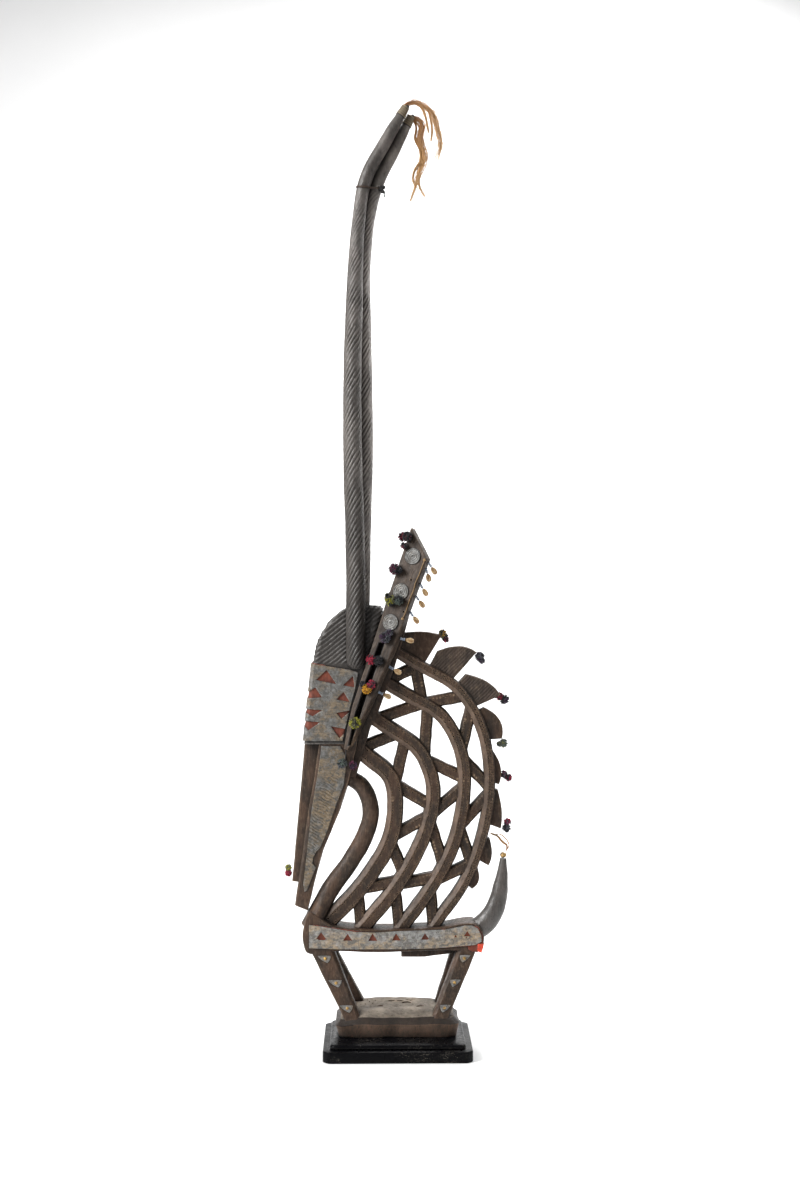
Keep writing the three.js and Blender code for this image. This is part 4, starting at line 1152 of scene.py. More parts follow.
def arc_punch_rows(depth):
    """Two rows of punch marks down the flat of each arc"""
    rows = []
    for arc, width in zip(ARCS, ARC_WIDTHS):
        flat = width - ARC_INNER_BEVEL - ARC_OUTER_BEVEL
        for side in (-1, 1):
            off = (ARC_INNER_BEVEL - ARC_OUTER_BEVEL) / 2 + side * (flat / 2 - 2.3)
            rows.append([point + across * off + Vector((0, depth, 0))
                         for point, _, across in map(arc.at, steps(-0.03, 1.0, 60))])
    return rows


def bar_punch_rows(depth):
    """Two rows of punch marks along each lattice bar"""
    rows = []
    for ring, bars in enumerate(LATTICE):
        for shares in bars:
            start, end, wide = bar_line(ring, shares)
            for off in (-BAR_WIDTH * 0.24, BAR_WIDTH * 0.24):
                rows.append([p + wide * off + Vector((0, depth, 0)) for p in (start, end)])
    return rows


def punched(name, solid, rows_at, half):
    """A solid with punch marks sunk in both of its faces"""
    sizes = bpy.context.scene.headdress_sizes
    tree, identifiers = punch_tree()
    level = half + PUNCH_LIFT
    cutters = []
    for side in (-1, 1):
        made = grown("punches", row_object(rows_at(side * level)), tree, identifiers, {
            "Size": sizes.punch_size, "Depth": PUNCH_DEPTH * MM, "Pitch": sizes.punch_pitch,
            "Material": FINISHES["pit"]})
        if side > 0:
            made.data.transform(Matrix.Diagonal((1, -1, 1, 1)))
            made.data.transform(Matrix.Translation((0, 2 * (MIDDLE + level) * MM, 0)))
            made.data.flip_normals()
        cutters.append(made)
    return joined(name, [solid], "DIFFERENCE", cutters)


def carving():
    """Every part of the carving, joined into one solid"""
    wood, mane, polished = FINISHES["carved"], FINISHES["mane"], FINISHES["polished"]
    sizes = bpy.context.scene.headdress_sizes
    arcs = [lit_bevelled(skinned("arc", arc_rings(i), mane), MANE_CENTRE) for i in range(len(ARCS))]
    arcs = joined("arcs", arcs, "UNION")
    bars = [skinned("bar", bar_rings(ring, shares), mane)
            for ring, run in enumerate(LATTICE) for shares in run]
    bars = joined("bars", bars, "UNION")
    arcs = punched("arcs", arcs, arc_punch_rows, ARC_THICKNESS / 2)
    bars = punched("bars", bars, bar_punch_rows, BAR_THICKNESS / 2)
    groove = (sizes.dome_groove_pitch / MM, sizes.dome_groove_depth / MM, BROW_SLOPE)
    block = joined("block", [block_solid()], "DIFFERENCE", gouge_cutters())
    parts = [
        block, arcs, bars,
        skinned("skull", head_rings(rounded_rows(SKULL), 6, 1.3, 1.25, 0.5, groove), FINISHES["brow"]),
        skinned("cheeks", head_rings(CHEEKS, 2.5, 9, 6, 0.4), wood),
        skinned("nose", head_rings(NOSE, 2.2, 9, 6, 0.5), wood),
        skinned("horn", horn_rings("near"), FINISHES["horn"]),
        skinned("horn", horn_rings("far"), FINISHES["far_horn"]),
        ear(NEAR), ear(FAR),
        *[skinned("leg", leg_rings(leg), wood) for leg in LEGS.values()],
        skinned("body", body_rings(), wood),
        skinned("belly_bar", board(BELLY_BAR, 13, 2, 0.6, 6), wood),
        skinned("neck", sweep(drawn(NECK), steps(0, 1.06, 48), lambda share: round_section(
            graded(NECK_WIDTHS, share), graded(NECK_DEPTHS, share), 26), uneven=0.7), wood),
        skinned("tail", sweep(TAIL, steps(0, 1, 26), lambda share: round_section(
            graded(TAIL_WIDTHS, share), min(30, graded(TAIL_WIDTHS, share)), 22), uneven=0.7), polished),
        skinned("strut", board(STRUT, 30, 3, 0.5), mane),
        *[skinned("fin", fin_rings(fin), FINISHES["fin"] if i in HATCHED_FINS else mane)
          for i, fin in enumerate(FINS)],
    ]
    whole = joined("antelope_carving", parts, "UNION")
    step = whole.modifiers.new("flat faces", "WEIGHTED_NORMAL")
    smoothed(whole, 34)
    step.keep_sharp = True
    return settled("antelope_carving", whole)


# Sheet metal and cloth


def node_copy(name, node_name, paint):
    """A CAD node's shape as a new object with its doubled points merged, in metres"""
    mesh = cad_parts[node_name].data.copy()
    mesh.name = name
    made = added(name, mesh)
    mesh.materials.clear()
    mesh.materials.append(paint)
    bm = bmesh.new()
    bm.from_mesh(mesh)
    bmesh.ops.remove_doubles(bm, verts=bm.verts, dist=0.02 * MM)
    bmesh.ops.dissolve_limit(bm, angle_limit=math.radians(1), verts=bm.verts, edges=bm.edges)
    bmesh.ops.triangulate(bm, faces=bm.faces, quad_method="BEAUTY", ngon_method="BEAUTY")
    bm.to_mesh(mesh)
    bm.free()
    return made


def refine(bm, gap):
    """Splits edges longer than the gap until none is left, keeping flat faces flat"""
    for _ in range(9):
        long_edges = [e for e in bm.edges if e.calc_length() > gap]
        if not long_edges:
            return
        bmesh.ops.subdivide_edges(bm, edges=long_edges, cuts=1)
        bmesh.ops.triangulate(bm, faces=bm.faces)


def scrap_share(p):
    """1 on the bright scrap of cloth at the hip, 0 on the rest"""
    return eased(118, 122, p.x) * eased(104, 101, p.z - BASE)


def scrap_folds(p):
    """Crumples of the scrap, in millimetres of depth"""
    return -scrap_share(p) * (2.2 + 2.6 * noise.noise(p / 5))


# How far the cloth is frayed away behind a body strip, along its top and its foot
CLOTH_TOP = [(0, 1), (0.03, 0.2), (0.28, 0.1), (0.33, 1), (0.74, 1), (0.77, 0.2), (0.8, 1), (0.9, 1),
             (0.96, 0.1), (1, 0)]
CLOTH_FOOT = [(0, 1), (0.66, 1), (0.7, 0.3), (0.9, 0.2), (0.95, 0), (1, 0)]


def dented(name, node_name, paint, outward, dent_mm, gap_mm=3.0, size_mm=11.0, seed=0.0, marks=None,
           ragged=0.0):
    """A sheet with the node's shape, hammered into shallow dents, both of its faces together"""
    made = node_copy(name, node_name, paint)
    bm = bmesh.new()
    bm.from_mesh(made.data)
    refine(bm, gap_mm * MM)
    low, high = (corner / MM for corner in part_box(node_name))
    middle = (low + high) / 2
    for v in bm.verts:
        p = v.co / MM
        out = outward(p)
        flat = p - out * p.dot(out)
        rise = 0.5 + 0.5 * noise.noise(flat / size_mm + Vector((seed, 0, 0)))
        fine = noise.noise(flat / (size_mm * 0.35) + Vector((seed, 5, 0)))
        p += out * dent_mm * (rise * 0.8 + fine * 0.2)
        if marks:
            p -= out * marks(p)
        if ragged:
            share = (p.x - low.x) / (high.x - low.x)
            fray = graded(CLOTH_TOP if p.z > middle.z else CLOTH_FOOT, share)
            fray += 0.3 * noise.noise(Vector((p.x / 2.5, p.z / 2.5, seed)))
            p.z = middle.z + (p.z - middle.z) * (1 - ragged * fray)
            p.x += 3.4 * eased(0.05, 0.0, share)
        v.co = p * MM
    bm.to_mesh(made.data)
    bm.free()
    return smoothed(made, 45)


BAND_FOLDS = [(507, -0.13), (484, -0.12), (461, 0.03), (441, -0.04), (419, -0.05)]


def band_marks(p):
    """Creases across the band where it was lapped in strips, in millimetres of depth"""
    z = p.z - BASE
    return sum(0.45 * math.exp(-((z - level - lean * (p.x + 100)) / 0.9) ** 2) for level, lean in BAND_FOLDS)


def face_marks(p):
    """Slanting lines engraved in a long patch down the face sheet"""
    z = p.z - BASE
    middle_x = blend(-130, -95, (z - 250) / 110)
    patch = eased(13, 8, abs(p.x - middle_x)) * eased(205, 225, z) * eased(362, 345, z)
    wave = abs(((z + 0.55 * p.x + 3 * noise.noise(p / 9)) / 5) % 1.0 - 0.5) * 2
    return 1.2 * patch * wave ** 2


def band_outward(p):
    """Out from the head's middle line, level"""
    middle_x = blend(-99, -86, (p.z - BASE - 407) / 119)
    return Vector(((p.x - middle_x) / 42, (p.y - MIDDLE) / 25, 0)).normalized()


def flank_outward(side):
    return lambda p: Vector((0, side, 0))


def flat_size(made):
    """The width and length of a flat sheet, and the area of one of its faces, in metres"""
    points = [v.co for v in made.data.vertices]
    spans = sorted(max(p[i] for p in points) - min(p[i] for p in points) for i in range(3))
    bm = bmesh.new()
    bm.from_mesh(made.data)
    face = sum(f.calc_area() for f in bm.faces) / 2
    bm.free()
    return spans[1], spans[2], face


# The cut-outs of a body strip: middle, foot, height and half width
STRIP_CUTS = [(-114, 110.5, 10.5, 7.8), (-74.3, 108, 10.5, 7), (-36.8, 107.5, 11, 7), (-1.6, 108, 10.5, 6.6),
              (41.3, 109.5, 9.5, 6.2), (104.4, 114, 8, 5.4), (103, 111.2, 2.4, 1.4), (87, 112.5, 4.4, 2.2)]


def strip_cutters(side):
    """Three-sided prisms through a body strip, as wide as its cut-outs"""
    return [skinned("cutter", [[place(x + a, z + b, side * y) for a, b in ((-half, 0), (half, 0), (0, tall))]
                               for y in (22, 34)], FINISHES["metal"]) for x, z, tall, half in STRIP_CUTS]


def wrapped_size(made):
    """The flat size of the cloth that goes once round the head, from its own height and area"""
    _, _, face = flat_size(made)
    heights = [v.co.z for v in made.data.vertices]
    width = max(heights) - min(heights)
    return (width, face / width), face


LEG_PLATE_HEIGHTS = [85, 50, 14]
LEG_PLATE_WIDTHS = {"front": 20, "hind": 16}
LEG_PLATE_HEIGHT = 10


def leg_plate(name, leg, width, z):
    """A small metal triangle that points down a leg, dished, with a rubbed boss in its middle"""
    side = leg[0]
    top, apex = leg_face(leg, z), leg_face(leg, z - LEG_PLATE_HEIGHT)
    outline = []
    for t in steps(0, 1, 10):
        outline.append(top + Vector((width * (t - 0.5), 0, 0.6 * math.sin(math.pi * t))))
    for t in steps(0, 1, 8)[1:]:
        edge = top + Vector((width / 2, 0, 0))
        outline.append(edge.lerp(apex, t) + Vector((0.9, 0, -0.9)) * math.sin(math.pi * t))
    for t in steps(0, 1, 8)[1:-1]:
        edge = top - Vector((width / 2, 0, 0))
        outline.append(apex.lerp(edge, t) + Vector((-0.9, 0, -0.9)) * math.sin(math.pi * t))
    middle = sum(outline, Vector()) / len(outline)
    rings = []
    for share, out in ((1, 0.3), (1, 1.1), (0.86, 1.35), (0.6, 1.3), (0.3, 1.6)):
        rings.append([middle.lerp(p, share) + Vector((0, side * out, 0)) for p in outline])
    plate = skinned(name, rings, FINISHES["plate"])
    boss_rings = []
    for radius, out in ((3.2, 1.0), (3.2, 1.7), (2.4, 2.6), (1.0, 3.0)):
        boss_rings.append([middle + Vector((x * 0.75, side * out, y * 0.75 - 0.6))
                           for x, y in round_section(radius * 2, radius * 2, 14)])
    boss = skinned("boss", boss_rings, FINISHES["boss"])
    return smoothed(joined(name, [plate, boss], "UNION"), 50)


# Ornaments

DISC_SHARES = [0.884, 0.724, 0.584]
DISC_ACROSS = EAR_WIDTH / 2
DISC_PROFILE = [(0.2, 0.06), (1.2, 0.06), (1.5, 1.3), (2.3, 1.35), (3.1, 0.5), (4.0, 0.5), (4.7, 1.3),
                (5.5, 1.3), (6.2, 0.5), (7.2, 0.5), (7.9, 1.3), (8.7, 1.3), (9.4, 0.6), (10.3, 0.6),
                (10.9, 1.4), (11.6, 1.3), (12.0, 0.7), (12.0, 0.0), (0.2, 0.0)]
EAR_CORD = (0.615, 0.885)
COWRIE_SHARES = [0.883, 0.858, 0.785, 0.728, 0.655, 0.53, 0.401, 0.282]
COWRIE_DROPS = [(0.55, -0.83), (0.25, -0.96), (0.5, -0.86), (0.6, -0.8), (0.6, -0.8), (0.97, -0.2),
                (0.86, -0.5), (0.9, -0.42)]
STRING_LENGTH, COWRIE_LENGTH, COWRIE_WIDTH = 8, 13, 8
BEAD_PROFILE = [(-1.15, 0.45), (-1.05, 0.75), (-0.6, 0.96), (0, 1), (0.6, 0.96), (1.05, 0.75), (1.15, 0.45)]


def disc(name, side, share, seed):
    """A thin stamped disc with concentric ridges, slightly bent"""
    centre = on_ear(side, DISC_ACROSS, share, CLEARANCE)
    out = ear_outward(side)
    wide = (on_ear(side, 1, share) - on_ear(side, 0, share)).normalized()
    up = out.cross(wide)
    rings = []
    for radius, height in DISC_PROFILE:
        ring = []
        for k in range(48):
            angle = 2 * math.pi * k / 48
            flat = wide * math.cos(angle) * radius + up * math.sin(angle) * radius
            bend = 0.5 * (0.5 + noise.noise(flat / 7 + Vector((seed, 0, 0)))) * min(1, radius / 6)
            ring.append(centre + flat + out * (height + max(0, bend)))
        rings.append(ring)
    return smoothed(skinned(name, rings[::-1], FINISHES["disc_metal"]), 60)


def rope_rings(path_points, thickness, turn_mm=5.0, strands=3):
    """Rings of a twisted cord of several strands along a list of points"""
    rings = []
    run = 0.0
    normal = Vector((0.3, -0.9, 0.2)).normalized()
    for i, p in enumerate(path_points):
        ahead = path_points[min(i + 1, len(path_points) - 1)] - path_points[max(i - 1, 0)]
        along = ahead.normalized()
        normal = (normal - along * normal.dot(along)).normalized()
        other = along.cross(normal)
        if i:
            run += (p - path_points[i - 1]).length
        ring = []
        for k in range(4 * strands):
            angle = 2 * math.pi * k / (4 * strands)
            lobe = 0.78 + 0.22 * abs(math.cos(strands * angle / 2))
            turned = angle + 2 * math.pi * run / turn_mm / strands
            r = thickness / 2 * lobe
            ring.append(p + normal * math.cos(turned) * r + other * math.sin(turned) * r)
        rings.append(ring)
    return rings


def spaced(points, gap):
    """Points along a smooth curve through the given ones, a gap apart"""
    path = Path(points)
    return [path.at(share)[0] for share in steps(0, 1, max(4, round(path.length / gap)))]


def ear_cord(side):
    """A gilt cord along the ridge of the ear's back edge, tied down at both ends"""
    out = CLEARANCE + 1.1
    knots = [on_ear(side, graded(EAR_BACK_LINE, share) - 2 + 0.4 * math.sin(70 * share), share,
                    out + 0.25 * math.sin(99 * share)) for share in steps(*EAR_CORD, 8)]
    cord = skinned("cord", rope_rings(spaced(knots, 0.7), 1.2), FINISHES["cord"])
    ties = [knot_ball("tie", p, 1.9, FINISHES["cord"]) for p in (knots[0], knots[-1])]
    return smoothed(joined(f"ear_cord_{'near' if side < 0 else 'far'}_twisted", [cord, *ties], "UNION"), 60)


def knot_ball(name, centre, radius, paint, lumps=0.35):
    """A small lumpy knot"""
    bm = bmesh.new()
    bmesh.ops.create_icosphere(bm, subdivisions=3, radius=radius)
    for v in bm.verts:
        v.co *= 1 + lumps * noise.noise(v.co / radius * 1.6 + centre / 7)
        v.co += centre
    return finished(name, bm, paint)


def cowrie_shell(name, centre, along, face):
    """A cowrie: an egg with a flat underside, and a toothed slit down the middle of it"""
    other = along.cross(face).normalized()
    rings = []
    for t in steps(0.02, 0.98, 16):
        u = 2 * t - 1
        wide = math.sqrt(max(0.0, 1 - u * u)) * (1 + 0.16 * u) * COWRIE_WIDTH / 2
        ring = []
        for k in range(24):
            angle = 2 * math.pi * k / 24
            x, y = math.cos(angle) * wide, math.sin(angle) * wide * 0.82
            if y > 0:
                y *= 0.62
                slit = math.exp(-(x / 0.75) ** 2) * (1 - u * u)
                teeth = 0.25 * math.cos(t * 60) * math.exp(-((abs(x) - 1.3) / 0.8) ** 2)
                y -= 1.3 * slit - teeth * (1 - u * u)
            ring.append(centre + along * u * COWRIE_LENGTH / 2 + other * x + face * y)
        rings.append(ring)
    return skinned(name, rings, FINISHES["shell"])


def cowrie_drop(i):
    """A cowrie on a short string of glass beads, hanging off the back edge of the near ear"""
    share = COWRIE_SHARES[i]
    down = Vector((COWRIE_DROPS[i][0], 0, COWRIE_DROPS[i][1])).normalized()
    start = on_ear(NEAR, graded(EAR_BACK_LINE, share), share, -EAR_THICKNESS / 2) + down * 1.6
    string = [start + down * t * (STRING_LENGTH + 2.5) for t in steps(0, 1, 6)]
    parts = [skinned("string", rope_rings(string, 0.9), FINISHES["dark_cord"])]
    for k in range(3):
        centre = start + down * (1.2 + 2.5 * k)
        parts.append(bead("bead", centre, down, 2.2 - 0.3 * (k == 1)))
    face = Vector((0.2 * math.sin(i * 2.3), -1, 0.3 * math.cos(i * 1.7)))
    face = (face - down * face.dot(down)).normalized()
    centre = start + down * (STRING_LENGTH + 0.2 + COWRIE_LENGTH / 2)
    parts.append(cowrie_shell("shell", centre, down, face))
    return smoothed(joined(f"cowrie_drop_{i + 1}", parts, "UNION"), 55)


def bead(name, centre, axis, radius):
    """A drawn glass bead, a short barrel"""
    turn = axis.to_track_quat("Z", "Y")
    rings = []
    for z, share in BEAD_PROFILE:
        across = 2 * radius * share
        rings.append([centre + turn @ Vector((x, y, z)) for x, y in round_section(across, across, 14)])
    return skinned(name, rings, FINISHES["bead"])


# Wool pompons

WOOLS = {
    "black": "#17161b", "crimson": "#951a35", "magenta": "#5e1d40", "mustard": "#bd8b1d",
    "lime": "#94922a", "olive": "#6c6d48", "grey": "#4f5157", "green_grey": "#505b53", "maroon": "#54182a",
    "purple": "#3d2440",
}
# The balls of each pompon: three wools, then right, up and its size
POMPONS = {
    "ear_pompon_near_1": (("black", "black", "maroon", 5, 0, 1), ("maroon", "black", "crimson", 0, -14, 0.7)),
    "ear_pompon_near_2": (("magenta", "black", "maroon", 2, -1, 1.15),
                          ("black", "black", "grey", 9, -3, 0.7)),
    "ear_pompon_near_3": (("lime", "olive", "black", 1, -3, 1.1),
                          ("black", "green_grey", "black", 13, -2, 1)),
    "ear_pompon_near_4": (("black", "purple", "grey", 3, -5, 1.1), ("purple", "grey", "black", 9, 2, 0.8)),
    "ear_pompon_near_5": (("crimson", "crimson", "black", 3, -3, 1), ("black", "black", "black", 14, -4, 1)),
    "ear_pompon_near_6": (("mustard", "mustard", "maroon", 6, -4, 1),
                          ("maroon", "crimson", "black", 13, 3, 0.9), ("black", "black", "grey", 0, 3, 0.7)),
    "ear_pompon_near_7": (("black", "lime", "olive", 2, -3, 1.15),),
    "ear_pompon_far_1": (("crimson", "black", "magenta", 0, 0, 1),),
    "ear_pompon_far_2": (("olive", "black", "mustard", 0, 0, 1),),
    "ear_pompon_far_3": (("black", "crimson", "grey", 0, 0, 1),),
    "fin_pompon_1": (("olive", "mustard", "black", 0, 2, 0.8), ("black", "black", "olive", 3, -3, 0.8),
                     ("crimson", "black", "maroon", 5, -7, 0.7)),
    "fin_pompon_2": (("grey", "purple", "black", 3, -3, 1), ("purple", "black", "grey", 6, -9, 0.7)),
    "fin_pompon_3": (("crimson", "maroon", "black", -4, 3, 0.85), ("black", "black", "purple", 4, -2, 1)),
    "fin_pompon_4": (("olive", "green_grey", "grey", 0, -1, 0.9),
                     ("grey", "olive", "green_grey", -6, -2, 0.6)),
    "fin_pompon_5": (("grey", "black", "magenta", -3, 2, 0.8), ("magenta", "black", "crimson", 4, -3, 0.8)),
    "fin_pompon_6": (("magenta", "grey", "crimson", 2, 4, 0.8), ("black", "grey", "black", 1, -5, 0.9)),
    "cheek_pompon": (("green_grey", "grey", "black", -4, 0, 1), ("black", "purple", "magenta", 12, -3, 0.9)),
    "muzzle_pompon": (("olive", "lime", "olive", 0, 4, 0.7), ("crimson", "crimson", "maroon", 0, -4, 0.75)),
}


def pompon_tree():
    """Short ends of yarn standing out all round from a core, in three colours by patches"""
    tree, given, identifiers = tree_of("Pompon", {
        "Radius": "Float", "Ends": "Int", "Thickness": "Float", "Seed": "Int", "Main": "Color",
        "Second": "Color", "Third": "Color", "Material": "Material"})
    ends = node(tree, "GeometryNodePoints", Count=given["Ends"])
    way = node(tree, *RANDOM_WAY, (-1.0, 0.0, 0.0), (1.0, 2 * math.pi, 0.0), Seed=given["Seed"])
    level, turn, _ = node(tree, "ShaderNodeSeparateXYZ", None, way).outputs
    flat = node(tree, *POWER, node(tree, *MINUS, 1.0, node(tree, *TIMES, level, level)), 0.5)
    unit = node(tree, "ShaderNodeCombineXYZ", None, node(tree, *TIMES, flat, node(tree, *COSINE, turn)),
                node(tree, *TIMES, flat, node(tree, *SINE, turn)), level)
    root = node(tree, *SCALED, unit, node(tree, *TIMES, given["Radius"], 0.5))
    placed = node(tree, "GeometryNodeSetPosition", Geometry=ends, Position=root)
    end = node(tree, "GeometryNodeMeshCone", Vertices=5, Side_Segments=3,
               Radius_Top=node(tree, *TIMES, given["Thickness"], 0.32),
               Radius_Bottom=node(tree, *TIMES, given["Thickness"], 0.5),
               Depth=node(tree, *TIMES, given["Radius"], 0.52))
    lean = node(tree, *RANDOM_WAY, (-0.55, -0.55, -0.55), (0.55, 0.55, 0.55), Seed=7)
    turned = node(tree, "FunctionNodeAlignRotationToVector", {"axis": "Z"},
                  Vector=node(tree, *SUMMED, unit, lean))
    size = node(tree, *RANDOM, 0.62, 1.12, Seed=9)
    set_down = node(tree, "GeometryNodeInstanceOnPoints", Points=placed, Instance=end, Rotation=turned,
                    Scale=size)
    patches = node(tree, *NOISE_4D, Vector=unit, W=given["Seed"], Scale=1.15, Detail=1.0)
    tone = node(tree, *MIX, node(tree, *ABOVE, patches, 0.52), given["Main"], given["Second"])
    tone = node(tree, *MIX, node(tree, *BELOW, patches, 0.43), tone, given["Third"])
    tinted = node(tree, "GeometryNodeStoreNamedAttribute", {"data_type": "FLOAT_COLOR", "domain": "INSTANCE"},
                  Geometry=set_down, Name="yarn", Value=tone)
    ball = node(tree, "GeometryNodeMeshIcoSphere", Radius=node(tree, *TIMES, given["Radius"], 0.55),
                Subdivisions=3)
    core = node(tree, "GeometryNodeStoreNamedAttribute", {"data_type": "FLOAT_COLOR", "domain": "POINT"},
                Geometry=ball, Name="yarn", Value=given["Main"])
    both = node(tree, "GeometryNodeJoinGeometry", Geometry=tinted)
    tree.links.new(core.outputs[0], both.inputs[0])
    close_tree(tree, both, given["Material"])
    return tree, identifiers


def pompon(name, tree, identifiers, seed):
    """A cluster of wool balls round the middle of its node, those of the near ear hung clear of its slope"""
    sizes = bpy.context.scene.headdress_sizes
    low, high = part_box(name)
    balls = []
    for i, (*wools, right, up, size) in enumerate(POMPONS[name]):
        blank = added("blank", bpy.data.meshes.new("blank"))
        tones = dict(zip(("Main", "Second", "Third"), (opaque(linear(WOOLS[w])) for w in wools)))
        ball = grown(f"{name}_wool", blank, tree, identifiers, {
            "Radius": sizes.pompon_diameter / 2 * size, "Ends": round(sizes.yarn_ends * size),
            "Thickness": sizes.yarn_thickness, "Seed": seed * 10 + i, "Material": FINISHES["yarn"], **tones})
        out = -0.35 * right if "ear" in name else 0.15 * right
        ball.data.transform(Matrix.Translation((low + high) / 2 + Vector((right, out, up)) * MM))
        balls.append(ball)
    if name == "cheek_pompon":
        middle, foot = (low + high) / 2 / MM, on_ear(NEAR, 10, 0.02, -6)
        string = spaced([middle, middle.lerp(foot, 0.5) - Vector((0, 0, 1.5)), foot], 0.8)
        balls.append(skinned("string", rope_rings(string, 1.6), FINISHES["black_cord"]))
    with bpy.context.temp_override(active_object=balls[0], selected_editable_objects=balls):
        bpy.ops.object.join()
    return smoothed(balls[0], 60)


# Hair tufts and the horn binding

# Each tuft's guides, the first with its hair spread widest, and that spread
TUFTS = {
    "horn_tuft_near": (4.4, [
        [(10, 1351), (25, 1357), (39, 1351), (54, 1339), (59, 1322), (63, 1303), (64, 1287), (59, 1270)],
        [(11, 1350), (24, 1356), (34, 1352), (41, 1339), (44, 1327), (47, 1311)],
        [(12, 1351), (25, 1356), (44, 1347), (50, 1332), (52, 1313), (50, 1299)],
        [(13, 1352), (28, 1357), (49, 1345), (59, 1325), (66, 1297), (62, 1280)]]),
    "horn_tuft_far": (3.9, [
        [(20, 1339), (32, 1335), (39, 1323), (35, 1309), (38, 1294), (43, 1278), (37, 1261), (30, 1244),
         (31, 1230)],
        [(21, 1338), (29, 1323), (27, 1306), (34, 1290), (35, 1273), (26, 1258), (24, 1244), (28, 1234)],
        [(21, 1338), (34, 1322), (31, 1304), (39, 1285), (32, 1256), (27, 1233), (20, 1213)],
        [(22, 1339), (36, 1328), (37, 1304), (40, 1277), (33, 1250), (34, 1233), (42, 1220)]]),
    "tail_tuft": (1.1, [
        [(165, 238), (166, 245), (159, 251), (151, 260), (141, 264)],
        [(165, 238), (169, 246), (163, 257), (154, 263), (145, 261)]]),
}


def tuft_tree():
    """Locks of hair that follow each guide side by side, spreading and thinning towards their tips"""
    tree, given, identifiers = tree_of("Hair tuft", {
        "Locks": "Int", "Spread": "Float", "Thickness": "Float", "Seed": "Int", "Root": "Color",
        "Tip": "Color", "Shade": "Color", "Material": "Material"})
    path = node(tree, "GeometryNodeMeshToCurve", Mesh=given["Geometry"])
    fine = node(tree, "GeometryNodeResampleCurve", {"mode": "COUNT"}, Curve=path, Count=26)
    locks = node(tree, "GeometryNodeDuplicateElements", {"domain": "SPLINE"}, Geometry=fine,
                 Amount=given["Locks"])
    lock = locks.outputs[1]
    along = node(tree, "GeometryNodeSplineParameter").outputs["Factor"]
    aside = node(tree, *RANDOM_WAY, (-1.0, -1.0, -1.0), (1.0, 1.0, 1.0), ID=lock, Seed=given["Seed"])
    reach = node(tree, "GeometryNodeInputNamedAttribute", {"data_type": "FLOAT"}, Name="reach")
    opening = node(tree, *RANGE, along, 0.0, 0.3, 0.5, 1.0)
    widening = node(tree, *TIMES, given["Spread"], node(tree, *TIMES, reach, opening))
    waves = node(tree, *NOISE_4D, Vector=node(tree, "GeometryNodeInputPosition"), W=lock, Scale=70.0,
                 Detail=1.0)
    centred = node(tree, *APART, waves.outputs[1], (0.5, 0.5, 0.5))
    waved = node(tree, *SCALED, centred, node(tree, *TIMES, widening, 2.4))
    shift = node(tree, *SUMMED, node(tree, *SCALED, aside, widening), waved)
    moved = node(tree, "GeometryNodeSetPosition", Geometry=locks, Offset=shift)
    thin = node(tree, "ShaderNodeMapRange", None, along, 0.55, 1.0, 1.0, 0.25)
    sized = node(tree, "GeometryNodeSetCurveRadius", Curve=moved, Radius=thin)
    darkness = node(tree, *RANDOM, -0.5, 0.6, ID=lock, Seed=given["Seed"])
    tone = node(tree, *MIX, along, given["Root"], given["Tip"])
    tone = node(tree, *MIX, darkness, tone, given["Shade"])
    tinted = node(tree, "GeometryNodeStoreNamedAttribute", {"data_type": "FLOAT_COLOR", "domain": "POINT"},
                  Geometry=sized, Name="hair", Value=tone)
    profile = node(tree, "GeometryNodeCurvePrimitiveCircle", Resolution=4,
                   Radius=node(tree, *TIMES, given["Thickness"], 0.5))
    hair = node(tree, "GeometryNodeCurveToMesh", Curve=tinted, Profile_Curve=profile, Scale=thin,
                Fill_Caps=True)
    close_tree(tree, hair, given["Material"])
    return tree, identifiers


def tuft(name, tree, identifiers, seed):
    """A tuft's hair grown along its guides"""
    sizes, tones = bpy.context.scene.headdress_sizes, bpy.context.scene.headdress_colours
    spread, guides = TUFTS[name]
    depth = {"horn_tuft_near": horn_depth("near", 1), "horn_tuft_far": horn_depth("far", 1)}.get(name, 0)
    rows = [spaced([place(x, z, depth) for x, z in points], 4) for points in guides]
    made = row_object(rows)
    reach = made.data.attributes.new("reach", "FLOAT", "POINT")
    reach.data.foreach_set("value", [1.0 if row is rows[0] else 0.4 for row in rows for _ in row])
    return smoothed(grown(name + "_hair", made, tree, identifiers, {
        "Locks": sizes.hair_locks, "Spread": spread * MM, "Thickness": sizes.hair_thickness,
        "Seed": seed, "Root": opaque(tones.hair), "Tip": opaque(tones.hair_pale),
        "Shade": opaque(shade(tones.hair, 0.25)),
        "Material": FINISHES["hair"]}), 80)


def wrapped_tip(which):
    """Cord wound round a horn's tip over the root of its hair, and the black knots that hold it"""
    path = HORNS[which]
    depth = Vector((0, horn_depth(which, 1), 0))
    wraps = []
    for paint, thickness, ahead in (("pale_cord", 1.9, 0), ("black_cord", 1.4, 0.5)):
        points = []
        for t in steps(0, 1, 120):
            share = blend(0.985, 1.004, t)
            point, _, across = path.at(share)
            angle = 2 * math.pi * (5 * t + ahead)
            r = horn_diameter(which, min(share, 1)) / 2 + 0.5
            points.append(point + across * math.cos(angle) * r + Vector((0, math.sin(angle) * r, 0)) + depth)
        wraps.append(skinned("wrap", rope_rings(points, thickness), FINISHES[paint]))
    knots = [knot_ball("knot", path.at(share)[0] + depth + Vector((right, -3, 0)), size,
                       FINISHES["black_cord"], 0.6)
             for share, right, size in ((0.985, 2, 2.4), (0.994, -1, 2.2), (1.003, 2.5, 2.8))]
    return joined(f"horn_tip_wrap_{which}", [*wraps, *knots], "UNION")


